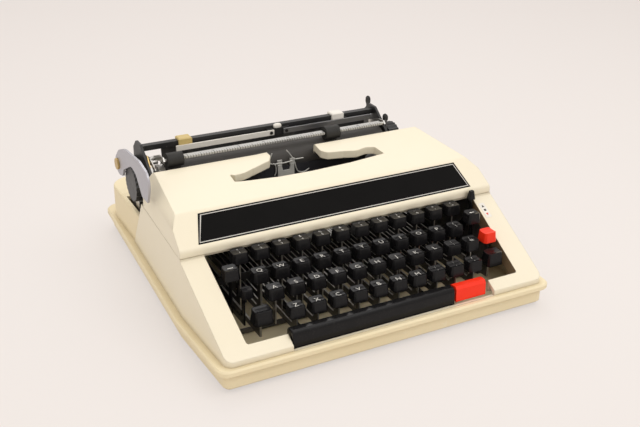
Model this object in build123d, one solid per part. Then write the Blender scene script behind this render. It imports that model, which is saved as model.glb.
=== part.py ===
from build123d import *
import os
from math import atan2, cos, degrees, pi, radians, sin, sqrt, tan

# Portable manual typewriter in millimetres: X to the right, Y to the back, Z up.
# The origin is the centre of the space that the base fills, on the table.
# Depths are measured back from the front of the base wall, heights from its underside.

# Base tray: rear_room is the space behind the chassis, and sets the depth of the base
base_width = 322.0
rear_room = 62.0
foot_height = 3.0
foot_size = (22.0, 14.0)
foot_inset = 28.0
case_wall = 2.6
body_gap = 0.3
flange_overhang = 5.0
front_overhang = 4.0
base_wall_height = 13.6
flange_height = 6.0
flange_corner = 9.0
flange_chamfer = 1.4
wall_chamfer = 1.8
front_narrowing = 4.0
back_narrowing = 12.0
widest_depth = 84.0
floor_thickness = 3.0
mouth_gap = 1.5

# Raised box at the back of the base: its front edge leans with the end of the housing
tower_height = 52.0
tower_corner = 20.0
tower_inset = 3.0
tower_back_inset = 11.0
tower_wall = 3.5
tower_lean = 0.592
tower_chamfer = 1.0

# Housing
case_inset = 6.6
case_draft = 1.6
deck_start = 0.5
deck_front_height = 24.2
deck_slope = 27.8
seam_depth = 87.2
seam_height = 71.0
housing_back_depth = 203.0
keyboard_front_depth = 11.0
keyboard_half_front = 129.0
keyboard_half_back = 132.0
keyboard_corner = 2.0
skirt_drop = 13.0
notch_half = 98.0
notch_depth = 27.0
notch_lip_height = 22.5

# Top cover
cover_set_back = 1.0
lip_height = 77.5
ridge_depth = 119.0
ridge_height = 96.5
cover_back_depth = 196.5
cover_back_height = 103.3
lip_round = 4.5
ridge_round = 9.0
back_round = 3.0
bevel_front_half = 144.5
bevel_back_half = 136.0
bevel_back_drop = 15.5
bevel_back_spread = 13.0
stripe_half_top = 130.0
stripe_half_bottom = 131.0
stripe_start = 3.6
stripe_width = 29.0
stripe_thickness = 0.8
stripe_fit = 0.1
rim_drop = 7.0
rim_wall = 2.4
window_middle = -4.0

# Keys: row offsets are in key pitches from the first key of the number row
key_pitch = 19.05
keyboard_middle = -0.225
key_rows = {
    "number": {"offset": 0.0, "keys": 12, "depth": 81.0, "height": 72.0},
    "upper": {"offset": 0.5, "keys": 11, "depth": 61.0, "height": 62.0},
    "home": {"offset": 0.75, "keys": 11, "depth": 43.0, "height": 55.0},
    "lower": {"offset": 1.25, "keys": 10, "depth": 24.0, "height": 46.0},
}
cap_width = 14.6
cap_depth = 13.2
cap_height = 9.4
cap_corner = 2.0
cap_taper = 6.4
dish_sink = 0.6
dish_flat = 2.4
slot_fit = 0.05
stem_width = 5.0
stem_entry = 3.5
lever_thickness = 1.2
lever_pitch = key_pitch / 4
lever_bottom = 21.0
lever_bar = 5.0
fulcrum_depth = 235.0
fulcrum_height = 22.0
fulcrum_radius = 2.0
fork_reach = 3.6
fork_half = 4.2
shaft_fit = 0.05

# Space bar and repeat bar
bar_left = -90.0
bar_right = 59.0
bar_arm_inset = 16.0
repeat_left = 60.5
repeat_right = 91.0
bar_front = 4.2
bar_back = 15.3
bar_bottom = 21.0
bar_top = 34.5
bar_arm_thickness = 1.5

# Keys beside the rows: x of the cap and of its lever
function_keys = {
    "margin_release_key": {"x": -118.8, "lever": -119.0, "depth": 66.0, "height": 67.0},
    "backspace_key": {"x": 115.0, "lever": 115.8, "depth": 63.5, "height": 69.0},
    "tab_key": {"x": 120.6, "lever": 120.6, "depth": 45.8, "height": 57.0},
}
function_cap_width = 13.6
shift_keys = {
    "left": {"x": -107.2, "lever": -109.6, "depth": 31.0, "height": 45.0},
    "right": {"x": 116.4, "lever": 110.8, "depth": 31.0, "height": 44.5},
}
shift_width = 17.0
shift_cap_height = 12.0
shift_blade = 1.8
shift_bar_depth = 196.0
shift_bar_height = 11.0
shift_bar_radius = 2.5
lock_key = {"x": -111.2, "lever": -114.3, "depth": 51.5, "height": 53.5}
lock_cap = (10.5, 9.5, 7.5)

# Chassis
chassis_half = 139.0
chassis_plate = 2.0
chassis_front = 62.0
chassis_back = 262.0
plate_top = 64.0
plate_bottom = 8.0
foot_flange = 10.0
foot_flange_length = 20.0
tie_plate = 2.0
rail_depth = 236.0
rail_width = 10.0
rail_bottom = 52.0
rail_height = 8.0
rail_groove = 3.0
comb_depth = 108.0
comb_plate = 1.6
comb_top = 34.0
comb_slot_top = 27.2
comb_play = 0.9

# Type basket
print_x = -6.0
basket_depth = 168.0
basket_axis = 78.0
segment_radius = 44.0
segment_bore = 32.0
segment_thickness = 9.0
segment_ear_low = 66.0
segment_facets = 14
segment_end = 5.0
type_bar_count = 44
type_bar_spread = 146.0
type_bar_length = 54.0
type_bar_height = 3.2
type_bar_sheet = 0.8
type_height = 5.0
basket_post = 57.0
post_plate = 2.0
guide_gap = 2.8
guide_plate = 1.2
guide_half = 9.0
guide_notch = 4.2

# Ribbon
spool_radius = 22.0
spool_height = 14.0
spool_disc = 1.0
spool_spread = 88.0
spool_depth = 165.0
spool_level = 80.0
spool_pin = 2.5
ribbon_sheet = 0.35
ribbon_width = 12.8
ribbon_gap = 1.6

# Carriage
platen_depth = 215.0
platen_height = 87.0
platen_radius = 16.0
platen_left = -119.0
platen_right = 105.0
axle_radius = 4.0
press_fit = 0.02
knob_radius = 16.5
knob_thickness = 11.0
knob_ribs = 24
knob_rib_depth = 0.9
end_left = -138.0
end_right = 107.2
end_plate = 2.4
pan_gap = 1.5
pan_sheet = 0.8
rail_bar_depth = 232.0
rail_bar_height = 113.0
rail_bar_size = 6.0
stop_width = 13.0
stop_places = {"left": -94.0, "right": 66.0}
feed_radius = 5.0
feed_axle = 2.0
feed_depth = 222.5
feed_spans = [(-92.0, -30.0), (16.0, 78.0)]
beam_low = 62.4
beam_height = 3.8
guide_start = -20.0

# Paper bail
bail_angle = 65.0
bail_roller_radius = 6.5
bail_roller_length = 15.0
bail_rod_radius = 1.75
bail_pivot_depth = 230.5
bail_pivot_height = 101.0
bail_pivot_radius = 2.0
bail_arm = 1.4
bail_left_x = platen_left - 5.0
bail_right_x = platen_right + 1.8
bail_roller_x = {"left": -113.2, "right": 46.5}

# Line spacing and the levers of the carriage
ratchet_radius = 13.0
ratchet_teeth = 26
ratchet_thickness = 6.0
lever_plane_gap = 4.5
lever_sheet = 2.0
lever_pivot_depth = 242.0
lever_pivot_height = 97.0
lever_screw_radius = 2.5
small_lever = 1.6
small_lever_gap = 0.5
release_pivot = (237.5, 95.0)
unlock_pivot = (202.0, 86.0)
support_length = 96.0
support_height = 109.1
support_pin = 1.5

# Carriage drive: a wheel that meshes with the rack, and the mainspring drum
rack_pitch = 2.54
escape_teeth = 20
rack_teeth = 48
rack_face = 2.0
tooth_root = 1.0
tooth_tip = 0.6
wheel_tip = 0.3
pin_radius = 1.5
drum_x = -104.0
drum_height = 30.0
drum_radius = 17.0
drum_thickness = 9.0
drum_start = 246.0
drum_post_radius = 2.5

# Bell and ribbon colour selector
bell_x = 96.0
bell_height = 28.0
bell_radius = 13.0
bell_wall = 1.2
bell_post_radius = 2.0
selector_pivot = (100.0, 30.0)
selector_x = 129.5
selector_sheet = 1.4

# Sizes that follow from the ones above
base_depth = front_overhang + chassis_back + rear_room
half_width = base_width / 2
front_edge = -base_depth / 2
back_depth = base_depth - front_overhang
flange_top = base_wall_height + flange_height
slope_rise = tan(radians(deck_slope))
tower_back_depth = back_depth - tower_back_inset
tower_slant = (seam_height - flange_top) * tower_lean
tower_front_depth = housing_back_depth + tower_slant + body_gap
face_start = seam_depth + cover_set_back
face_rise = (ridge_height - lip_height) / (ridge_depth - face_start - body_gap)
top_rise = (cover_back_height - ridge_height) / (cover_back_depth - ridge_depth)
first_key = keyboard_middle - (key_rows["number"]["keys"] - 1) / 2 * key_pitch
guide_depth = platen_depth - platen_radius - guide_gap
ribbon_depth = guide_depth - ribbon_gap
rail_top = rail_bottom + rail_height
beam_top = beam_low + beam_height
ratchet_start = platen_left - 7.5
right_knob_start = end_right + end_plate + 3.2
escape_radius = rack_pitch * escape_teeth / (2 * pi)
rack_line = beam_low - 2.4
rack_start = print_x - 22
rack_depth = rail_depth + rail_width / 2 + 5.5
escape_x = rack_start + rack_pitch * 9
escape_height = rack_line - escape_radius


def y_at(depth):
    return front_edge + front_overhang + depth


def z_at(height):
    return foot_height + height


def prism(face, low, high, taper=0):
    return extrude(Pos(0, 0, z_at(low)) * face, high - low, taper=taper)


def side_profile(points, x_low, x_high):
    # Points are (depth, height) pairs; the solid runs from x_low to x_high.
    corners = [(x_low, y_at(d), z_at(h)) for d, h in points]
    face = make_face(Polyline(*corners, close=True))
    return extrude(face, x_high - x_low, dir=(1, 0, 0))


def rod(depth, height, radius, x_low, x_high):
    # Round bar along X.
    middle = (x_low + x_high) / 2
    return Pos(middle, y_at(depth), z_at(height)) * Rot(0, 90, 0) * Cylinder(radius, x_high - x_low)


def along_depth(x, height, radius, d_low, d_high):
    # Round bar along Y.
    middle = (d_low + d_high) / 2
    return Pos(x, y_at(middle), z_at(height)) * Rot(90, 0, 0) * Cylinder(radius, d_high - d_low)


def block(x_low, x_high, d_low, d_high, h_low, h_high):
    size = (x_high - x_low, d_high - d_low, h_high - h_low)
    centre = ((x_low + x_high) / 2, y_at((d_low + d_high) / 2), z_at((h_low + h_high) / 2))
    return Pos(*centre) * Box(*size)


def cut_corner_face(width, deep, cut):
    # Rectangle with its corners cut off.
    x = width / 2
    y = deep / 2
    right = [(x - cut, -y), (x, cut - y), (x, y - cut), (x - cut, y)]
    left = [(-a, -b) for a, b in right]
    return make_face(Polyline(*right, *left, close=True))


def save(shape, name):
    solids = shape if isinstance(shape, list) else [shape]
    part = Compound(label=name, children=[s for item in solids for s in item.solids()])
    export_step(part, f"parts/{name}.step")


def deck_height(depth):
    return deck_front_height + (depth - deck_start) * slope_rise


# Base: a shallow tray with a lid flange, and a raised open box round the back of the carriage
def plan_face(side_inset, front_depth, end_depth, corner, back_corner):
    # Seen from above: narrow front corners, widest a quarter of the way back, narrower again behind.
    slope = back_narrowing / (back_depth - widest_depth)
    front_half = half_width - front_narrowing - side_inset
    wide_half = half_width - side_inset
    end_half = wide_half - slope * (end_depth - widest_depth)
    outline = [
        (-front_half, y_at(front_depth)),
        (front_half, y_at(front_depth)),
        (wide_half, y_at(widest_depth)),
        (end_half, y_at(end_depth)),
        (-end_half, y_at(end_depth)),
        (-wide_half, y_at(widest_depth)),
    ]
    radii = [corner, corner, 0, back_corner, back_corner, 0]
    return make_face(FilletPolyline(*outline, radius=radii, close=True))


def base_tray():
    wall_end = back_depth - front_overhang
    wall = plan_face(flange_overhang, 0, wall_end, flange_corner - 3, flange_corner)
    flange = plan_face(0, -front_overhang, back_depth, flange_corner, flange_corner + 3)
    shell = prism(wall, 0, base_wall_height)
    shell = chamfer(shell.edges().group_by(Axis.Z)[0], wall_chamfer)
    band = prism(flange, base_wall_height, flange_top)
    rim_edges = band.edges().group_by(Axis.Z)
    band = chamfer(rim_edges[0] + rim_edges[-1], flange_chamfer)
    body = shell + band + tower_outside()
    hollow = plan_face(flange_overhang + case_wall, case_wall, wall_end - case_wall, 4, 6)
    mouth_inset = case_inset + case_wall + mouth_gap
    mouth = plan_face(mouth_inset, front_overhang - 0.6, back_depth - 14, 4, 14)
    body -= prism(hollow, floor_thickness, base_wall_height - 1)
    body -= prism(mouth, floor_thickness, flange_top + 1)
    return body - tower_inside()


def tower_plan(inset, front):
    half = half_width - back_narrowing - tower_inset - inset
    outline = [
        (-half, y_at(front)),
        (half, y_at(front)),
        (half, y_at(tower_back_depth - inset)),
        (-half, y_at(tower_back_depth - inset)),
    ]
    corner = tower_corner - inset
    return make_face(FilletPolyline(*outline, radius=[0, 0, corner, corner], close=True))


def tower_outside():
    # The sides rise behind the slanted end of the housing and stop below the knobs.
    box = prism(tower_plan(0, housing_back_depth), base_wall_height, tower_height)
    box = chamfer(box.edges().group_by(Axis.Z)[-1], tower_chamfer)
    above = tower_height + 4
    low = base_wall_height - 5
    ahead = housing_back_depth - 30
    front_cut = side_profile(
        [
            (ahead, low),
            (tower_front_depth + flange_height * tower_lean, low),
            (tower_front_depth, flange_top),
            (tower_front_depth - (above - flange_top) * tower_lean, above),
            (ahead, above),
        ],
        -half_width,
        half_width,
    )
    return box - front_cut


def tower_inside():
    # Open above the mechanism and closed by a level deck behind it.
    deck_low = tower_height - tower_wall
    start = housing_back_depth - 20
    hollow = prism(tower_plan(tower_wall, start), floor_thickness, deck_low)
    half = half_width - back_narrowing - tower_inset - tower_wall
    return hollow + block(-half, half, start, chassis_back + 3, deck_low - 1, tower_height + 5)


def base_feet():
    feet = []
    for side in (-1, 1):
        for depth in (foot_inset, back_depth - foot_inset - foot_size[1]):
            pad = extrude(cut_corner_face(*foot_size, 2.5), foot_height)
            feet.append(Pos(side * (half_width - foot_inset), y_at(depth), 0) * pad)
    return feet


# Housing: side walls and the sloping deck round the keyboard
def housing_outer_profile():
    return [
        (deck_start, flange_top),
        (deck_start, deck_height(deck_start)),
        (seam_depth, deck_height(seam_depth)),
        (seam_depth, seam_height),
        (housing_back_depth, seam_height),
        (housing_back_depth + tower_slant, flange_top),
    ]


def housing_inner_profile():
    # The deck's underside, a wall's thickness below it; the top and the back stay open.
    drop = case_wall / cos(radians(deck_slope))
    front = deck_start + case_wall
    deck_end = seam_depth + case_wall + 1
    far = housing_back_depth + 60
    return [
        (front, flange_top - 1),
        (front, deck_height(front) - drop),
        (deck_end, deck_height(deck_end) - drop),
        (deck_end, seam_height + 1),
        (far, seam_height + 1),
        (far, flange_top - 1),
    ]


def keyboard_plan(grow, end):
    slope = (keyboard_half_back - keyboard_half_front) / (seam_depth - keyboard_front_depth)
    front_half = keyboard_half_front + grow
    end_half = front_half + slope * (end - keyboard_front_depth)
    outline = [
        (-front_half, y_at(keyboard_front_depth - grow)),
        (front_half, y_at(keyboard_front_depth - grow)),
        (end_half, y_at(end)),
        (-end_half, y_at(end)),
    ]
    corner = keyboard_corner + grow
    return make_face(FilletPolyline(*outline, radius=[corner, corner, 0, 0], close=True))


def deck_band():
    # The slice under the deck's surface that the keyboard's skirt fills.
    front = -5
    end = seam_depth + 2
    corners = [(front, 0), (end, 0), (end, skirt_drop), (front, skirt_drop)]
    return side_profile([(d, deck_height(d) - drop) for d, drop in corners], -half_width, half_width)


def housing():
    long_depth = housing_back_depth + tower_slant + 1
    outer = side_profile(housing_outer_profile(), -half_width, half_width)
    outside = prism(plan_face(case_inset, deck_start, long_depth, 7, 1), flange_top, seam_height, case_draft)
    outside &= outer
    inner_plan = plan_face(case_inset + case_wall, deck_start + case_wall, long_depth + 40, 4, 1)
    inside = prism(inner_plan, flange_top - 1, seam_height + 1, case_draft)
    inside &= side_profile(housing_inner_profile(), -half_width, half_width)
    skirt = prism(keyboard_plan(case_wall, seam_depth + 2), flange_top - 2, seam_height + 5)
    skirt &= deck_band()
    skirt &= outer
    opening = prism(keyboard_plan(0, seam_depth + 3), flange_top - 3, seam_height + 5)
    body = outside - (inside - skirt) - opening
    above = seam_height
    notch = block(-notch_half, notch_half, -1, notch_depth, notch_lip_height, above)
    well = block(-notch_half, notch_half, deck_start + case_wall, notch_depth, flange_top - 3, above)
    return body - notch - well


# Top cover: sloped face, soft ridge, side bevels that widen to the back, and a window over the type
def cover_block(inset):
    lift = 0 if inset else body_gap
    face_drop = inset / cos(atan2(face_rise, 1))
    top_drop = inset / cos(atan2(top_rise, 1))
    low = seam_height + lift - (2 if inset else 0)
    start = face_start + inset
    ridge_at = ridge_depth - (top_drop - face_drop) / (face_rise - top_rise)
    end = cover_back_depth + (4 if inset else 0)
    points = [
        (start, low),
        (start, lip_height + face_rise * inset - face_drop),
        (ridge_at, ridge_height + face_rise * (ridge_at - ridge_depth) - face_drop),
        (end, cover_back_height + top_rise * (end - cover_back_depth) - top_drop),
        (end, low),
    ]
    shape = side_profile(points, -half_width, half_width)
    if not inset:
        across = [e for e in shape.edges() if e.length > base_width - 1]
        lip = [e for e in across if e.center().Z > z_at(lip_height - 2) and e.center().Y < y_at(start + 3)]
        ridge = [e for e in across if abs(e.center().Y - y_at(ridge_depth)) < 2]
        back = [e for e in across if e.center().Z > z_at(cover_back_height - 1)]
        shape = fillet(lip, lip_round)
        shape = fillet(edges_near(shape, ridge), ridge_round)
        shape = fillet(edges_near(shape, back), back_round)
    draft = (seam_height - flange_top) * tan(radians(case_draft))
    plan = plan_face(case_inset + draft + inset, deck_start, cover_back_depth + 6, 7, 1)
    shape &= prism(plan, low - 1, cover_back_height + 3, case_draft)
    for side in (-1, 1):
        shape -= bevel_wedge(side, inset)
    return shape


def edges_near(shape, edges):
    centres = [e.center() for e in edges]
    return [e for e in shape.edges() if any((e.center() - c).length < 1.0 for c in centres)]


def bevel_wedge(side, inset):
    # A slab whose inner face runs through the top edge and the lower edge of the bevel.
    top_front = Vector(side * bevel_front_half, y_at(ridge_depth), z_at(ridge_height))
    top_back = Vector(side * bevel_back_half, y_at(cover_back_depth), z_at(cover_back_height))
    low_back = top_back + Vector(side * bevel_back_spread, 0, -bevel_back_drop)
    along = (top_back - top_front).normalized()
    normal = along.cross(low_back - top_back).normalized()
    if normal.X * side < 0:
        normal = -normal
    plane = Plane(origin=top_front - normal * inset, x_dir=along, z_dir=normal)
    slab = Box(500, 200, 60)
    return plane * Pos(0, 0, 30) * slab


def window_face(grow):
    # The opening over the type basket: a centre gap open to the back and a slot to each side.
    half = [
        (76.5 + grow * 1.4, 149.5 - grow),
        (73.5 + grow, 160.0 + grow * 0.6),
        (66.5 - grow * 0.2, 162.0 + grow),
        (56.0 - grow * 0.3, 154.8 + grow),
        (48.0 - grow * 0.1, 154.6 + grow),
        (27.0 + grow * 0.5, 169.5 + grow),
        (22.0 + grow, 180.0 + grow * 0.4),
        (24.5 + grow, cover_back_depth + 4),
    ]
    radii = [0.8 + grow, 4, 4, 6, 8, 6, 8, 0]
    right = [(window_middle + x, y_at(d)) for x, d in half]
    left = [(window_middle - x, y_at(d)) for x, d in reversed(half)]
    return make_face(FilletPolyline(*right, *left, radius=radii + radii[::-1], close=True))


def stripe_frame():
    # Plane on the sloped front face; its x runs across and its y up the slope.
    angle = atan2(face_rise, 1)
    start = Vector(0, y_at(face_start), z_at(lip_height))
    return Plane(origin=start, x_dir=(1, 0, 0), z_dir=(0, -sin(angle), cos(angle)))


def stripe_solid(grow, deep, high):
    low = stripe_start - grow
    top = stripe_start + stripe_width + grow
    outline = [
        (-stripe_half_bottom - grow, low),
        (stripe_half_bottom + grow, low),
        (stripe_half_top + grow, top),
        (-stripe_half_top - grow, top),
    ]
    face = make_face(Polyline(*outline, close=True))
    return stripe_frame() * Pos(0, 0, -deep) * extrude(face, deep + high)


def top_cover():
    shell = cover_block(0) - cover_block(case_wall)
    window = prism(window_face(0), seam_height + 5, cover_back_height + 5)
    rim = prism(window_face(rim_wall), seam_height + 8, cover_back_height + 5)
    rim &= cover_block(0)
    rim -= Pos(0, 0, -rim_drop) * cover_block(0)
    body = shell + rim - window
    return body - stripe_solid(stripe_fit, stripe_thickness, 5)


# Keys: each cap is pressed on the upright end of a flat steel lever
def row_positions(row):
    spec = key_rows[row]
    return [first_key + key_pitch * (spec["offset"] + i) for i in range(spec["keys"])]


def key_dish(width, deep, tall):
    # Shallow valley across the cap, lowest along its middle.
    edge = deep / 2 + 1
    rise = dish_sink * (edge - dish_flat) / (deep / 2 - 1 - dish_flat)
    low = tall - dish_sink
    section = [(-edge, low + rise), (-dish_flat, low), (dish_flat, low), (edge, low + rise)]
    corners = [(-width / 2 - 1, y, z) for y, z in section + [(edge, tall + 3), (-edge, tall + 3)]]
    return extrude(make_face(Polyline(*corners, close=True)), width + 2, dir=(1, 0, 0))


def key_cap(x, depth, height, width=cap_width, deep=cap_depth, tall=cap_height, slot_x=0.0, blade=None):
    # Tapered cap with a dished top; the slot in its underside takes the lever's end.
    body = extrude(cut_corner_face(width, deep, cap_corner), tall, taper=cap_taper)
    body -= key_dish(width, deep, tall)
    if slot_x is not None:
        slot = Box((blade or lever_thickness) + 2 * slot_fit, stem_width + 2 * slot_fit, 2 * (stem_entry + slot_fit))
        body -= Pos(slot_x, 0, 0) * slot
    return Pos(x, y_at(depth), z_at(height - tall)) * body


def fork():
    # Open end of a lever, hung on the fulcrum rod from the front.
    gap = fulcrum_radius + shaft_fit
    end = fulcrum_depth + fork_reach
    return [
        (end, fulcrum_height - fork_half),
        (end, fulcrum_height - gap),
        (fulcrum_depth - gap, fulcrum_height - gap),
        (fulcrum_depth - gap, fulcrum_height + gap),
        (end, fulcrum_height + gap),
        (end, fulcrum_height + fork_half),
    ]


def key_lever(x, depth, height, tall=cap_height, thickness=lever_thickness):
    # The stem stands up into the cap, and the bar runs back to the fulcrum rod.
    near = depth - stem_width / 2
    far = depth + stem_width / 2
    stem_top = height - tall + stem_entry
    bar_high = lever_bottom + lever_bar
    front = [(near, stem_top), (near, lever_bottom)]
    back = [(far + 4, bar_high), (far, bar_high + 5), (far, stem_top)]
    return side_profile(front + fork() + back, x - thickness / 2, x + thickness / 2)


def key_row(row):
    spec = key_rows[row]
    caps = [key_cap(x, spec["depth"], spec["height"]) for x in row_positions(row)]
    levers = [key_lever(x, spec["depth"], spec["height"]) for x in row_positions(row)]
    return caps, levers


def bar_cap(x_low, x_high):
    # Space bar section: flat front, soft top facet, undercut underside.
    points = [
        (bar_front, bar_bottom),
        (bar_front + 0.6, bar_top - 2.5),
        (bar_front + 2.6, bar_top),
        (bar_back - 2.5, bar_top - 0.4),
        (bar_back, bar_top - 3.0),
        (bar_back, bar_bottom + 3),
        (bar_back - 3.0, bar_bottom + 3),
        (bar_front + 3.0, bar_bottom),
    ]
    return side_profile(points, x_low, x_high)


def bar_lever(x):
    # The arm stays low in front, because the lowest row comes down over it.
    inside_cap = bar_bottom + 5
    front = [(bar_back - 4.5, inside_cap), (bar_back - 4.5, lever_bottom - 4.5)]
    back = [
        (comb_depth, lever_bottom + lever_bar / 2),
        (bar_back + 1, lever_bottom - 0.5),
        (bar_back - 1.5, inside_cap),
    ]
    half = bar_arm_thickness / 2
    return side_profile(front + fork() + back, x - half, x + half)


def between_levers(x):
    # Nearest plane midway between two key levers.
    steps = round((x - first_key) / lever_pitch - 0.5)
    return first_key + lever_pitch * (steps + 0.5)


def space_bar_arms():
    return [between_levers(bar_left + bar_arm_inset), between_levers(bar_right - bar_arm_inset)]


def repeat_bar_arm():
    return between_levers((repeat_left + repeat_right) / 2)


def space_bar():
    body = bar_cap(bar_left, bar_right)
    for x in space_bar_arms():
        body += bar_lever(x)
    return body


def repeat_bar():
    return bar_cap(repeat_left, repeat_right) + bar_lever(repeat_bar_arm())


def function_key(name):
    spec = function_keys[name]
    cap = key_cap(spec["x"], spec["depth"], spec["height"], width=function_cap_width, slot_x=None)
    return cap + key_lever(spec["lever"], spec["depth"], spec["height"])


# Shift: two keys on one rocking frame, with a lock key on the left
def shift_frame():
    levers = [spec["lever"] for spec in shift_keys.values()]
    half = shift_blade / 2
    body = rod(shift_bar_depth, shift_bar_height, shift_bar_radius, min(levers) - half, max(levers) + half)
    web_low = shift_bar_height - shift_bar_radius
    for spec in shift_keys.values():
        x = spec["lever"]
        body += key_lever(x, spec["depth"], spec["height"], tall=shift_cap_height, thickness=shift_blade)
        web = [
            (shift_bar_depth - 6, lever_bottom + 1),
            (shift_bar_depth - 3.5, web_low),
            (shift_bar_depth + 3.5, web_low),
            (shift_bar_depth + 6, lever_bottom + 1),
        ]
        body += side_profile(web, x - half, x + half)
    return body


def shift_caps():
    caps = []
    for spec in shift_keys.values():
        slot_x = spec["lever"] - spec["x"]
        size = {"width": shift_width, "tall": shift_cap_height, "slot_x": slot_x, "blade": shift_blade}
        caps.append(key_cap(spec["x"], spec["depth"], spec["height"], **size))
    return caps


def shift_lock():
    width, deep, tall = lock_cap
    depth = lock_key["depth"]
    height = lock_key["height"]
    cap = key_cap(lock_key["x"], depth, height, width=width, deep=deep, tall=tall, slot_x=None)
    return cap + key_lever(lock_key["lever"], depth, height, tall=tall)


# Chassis: two side plates tied by bars, standing on the base floor
def side_plate(sign):
    outline = [
        (chassis_back, rail_bottom),
        (rail_depth - rail_width, rail_bottom),
        (rail_depth - rail_width - 26, plate_top),
        (comb_depth - 8, plate_top),
        (chassis_front, 46),
    ]
    foot_starts = (chassis_front, chassis_back - foot_flange_length)
    for depth in foot_starts:
        end = depth + foot_flange_length
        outline += [(depth, plate_bottom), (depth, floor_thickness), (end, floor_thickness), (end, plate_bottom)]
    low = sign * (chassis_half - chassis_plate / 2) - chassis_plate / 2
    plate = side_profile(outline, low, low + chassis_plate)
    plate -= rod(fulcrum_depth, fulcrum_height, fulcrum_radius + shaft_fit, low - 5, low + 5)
    inner = low if sign > 0 else low + chassis_plate
    foot_low = min(inner, inner - sign * foot_flange)
    for depth in foot_starts:
        end = depth + foot_flange_length
        plate += block(foot_low, foot_low + foot_flange, depth, end, floor_thickness, floor_thickness + 1.6)
    return plate


def chassis():
    body = side_plate(-1) + side_plate(1)
    half = chassis_half - chassis_plate + 0.5
    ties = [
        (chassis_front + 1, floor_thickness + 1, 8),
        (chassis_back - 3, 6, 40),
        (comb_depth + 14, floor_thickness + 1, 9.5),
        (basket_depth + 8, 28.5, 34),
    ]
    for depth, low, high in ties:
        body += block(-half, half, depth, depth + tie_plate, low, high)
    for sign in (-1, 1):
        inner = print_x + sign * basket_post
        low = min(inner, inner + sign * post_plate)
        body += block(low, low + post_plate, basket_depth - 4, basket_depth + 10, 28.5, 74)
    return body + drum_post() + bell_post() + escape_bracket() + selector_post()


def fulcrum_rod():
    reach = chassis_half + 1.2
    return rod(fulcrum_depth, fulcrum_height, fulcrum_radius, -reach, reach)


def key_comb():
    # Comb of teeth that point down between the levers, closed above to stop their upward travel.
    half = chassis_half - chassis_plate - 0.1
    plate = block(-half, half, comb_depth, comb_depth + comb_plate, floor_thickness + 1, comb_top)
    blades = [(x, lever_thickness) for row in key_rows for x in row_positions(row)]
    blades += [(x, bar_arm_thickness) for x in space_bar_arms() + [repeat_bar_arm()]]
    blades += [(spec["lever"], lever_thickness) for spec in function_keys.values()]
    blades += [(spec["lever"], shift_blade) for spec in shift_keys.values()]
    blades += [(lock_key["lever"], lever_thickness)]
    slots = []
    for x, blade in blades:
        side = (blade + comb_play) / 2
        slots.append(block(x - side, x + side, comb_depth - 1, comb_depth + 3, 0, comb_slot_top))
    return plate - Compound(children=slots)


def carriage_rail():
    reach = chassis_half + 1.5
    half = rail_width / 2
    bar = block(-reach, reach, rail_depth - half, rail_depth + half, rail_bottom, rail_top)
    side = rail_groove / 2
    groove = block(-reach - 1, reach + 1, rail_depth - side, rail_depth + side, rail_top - 1.5, rail_top + 1)
    return bar - groove


# Type basket: slotted segment, type bars in a fan, and the guide at the print point
def fan_angle(i):
    return 180 + (180 - type_bar_spread) / 2 + type_bar_spread * i / (type_bar_count - 1)


def fan_place(i):
    # Plane of type bar i: its x points away from the basket's axis.
    return Pos(print_x, y_at(basket_depth), z_at(basket_axis)) * Rot(0, -fan_angle(i), 0)


def fan_point(radius, angle, side=0.0):
    # Point at a radius and an angle from the basket's axis, moved sideways by side.
    a = radians(angle)
    return (print_x + radius * cos(a) - side * sin(a), z_at(basket_axis) + radius * sin(a) + side * cos(a))


def segment():
    # Half ring whose bore is a comb: one radial slot for each type bar.
    half = type_bar_sheet / 2 + 0.1
    slot_end = segment_bore + 2.0 + type_bar_height / 2 + 0.6
    inside = []
    for i in range(type_bar_count):
        angle = fan_angle(i)
        inside += [
            fan_point(segment_bore, angle, -half),
            fan_point(slot_end, angle, -half),
            fan_point(slot_end, angle, half),
            fan_point(segment_bore, angle, half),
        ]
    step = (type_bar_spread + 2 * segment_end) / segment_facets
    arc = [fan_angle(0) - segment_end + step * k for k in range(segment_facets + 1)]
    outside = [fan_point(segment_radius, a) for a in reversed(arc)]
    corners = [(x, y_at(basket_depth - segment_thickness / 2), z) for x, z in inside + outside]
    ring = extrude(make_face(Polyline(*corners, close=True)), segment_thickness, dir=(0, 1, 0))
    for sign in (-1, 1):
        outer = print_x + sign * (basket_post - body_gap)
        inner = print_x + sign * (segment_radius - 4)
        low = min(outer, inner)
        high = max(outer, inner)
        ring += block(low, high, basket_depth - 2, basket_depth + 3, segment_ear_low, segment_ear_low + 6)
    return ring


def type_bars():
    # Flat bars that grow taller towards the type at the free end, on the typist's side.
    near = segment_bore + 2.0 - type_bar_height / 2
    free_end = 1 - type_bar_length
    outline = [(near, 1), (near, free_end), (near + type_height, free_end), (near + type_bar_height, 1)]
    bar = extrude(make_face(Polyline(*outline, close=True)), type_bar_sheet / 2, both=True)
    return [fan_place(i) * bar for i in range(type_bar_count)]


def type_guide():
    # Slotted steel guide that centres each type head, on two legs from the segment.
    leg_top = spool_level - ribbon_width / 2 - body_gap
    foot_start = basket_depth + segment_thickness / 2
    plate = block(print_x - guide_half, print_x + guide_half, guide_depth, guide_depth + guide_plate, 72, 92)
    plate -= block(print_x - guide_notch, print_x + guide_notch, guide_depth - 1, guide_depth + 3, 84, 95)
    foot = block(print_x - 12, print_x + 12, foot_start, foot_start + 1.5, 40, 75)
    for sign in (-1, 1):
        low = min(print_x + sign * guide_half, print_x + sign * (guide_half - 1.5))
        plate += block(low, low + 1.5, foot_start, guide_depth + 0.6, 66, leg_top)
    return plate + foot


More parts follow.
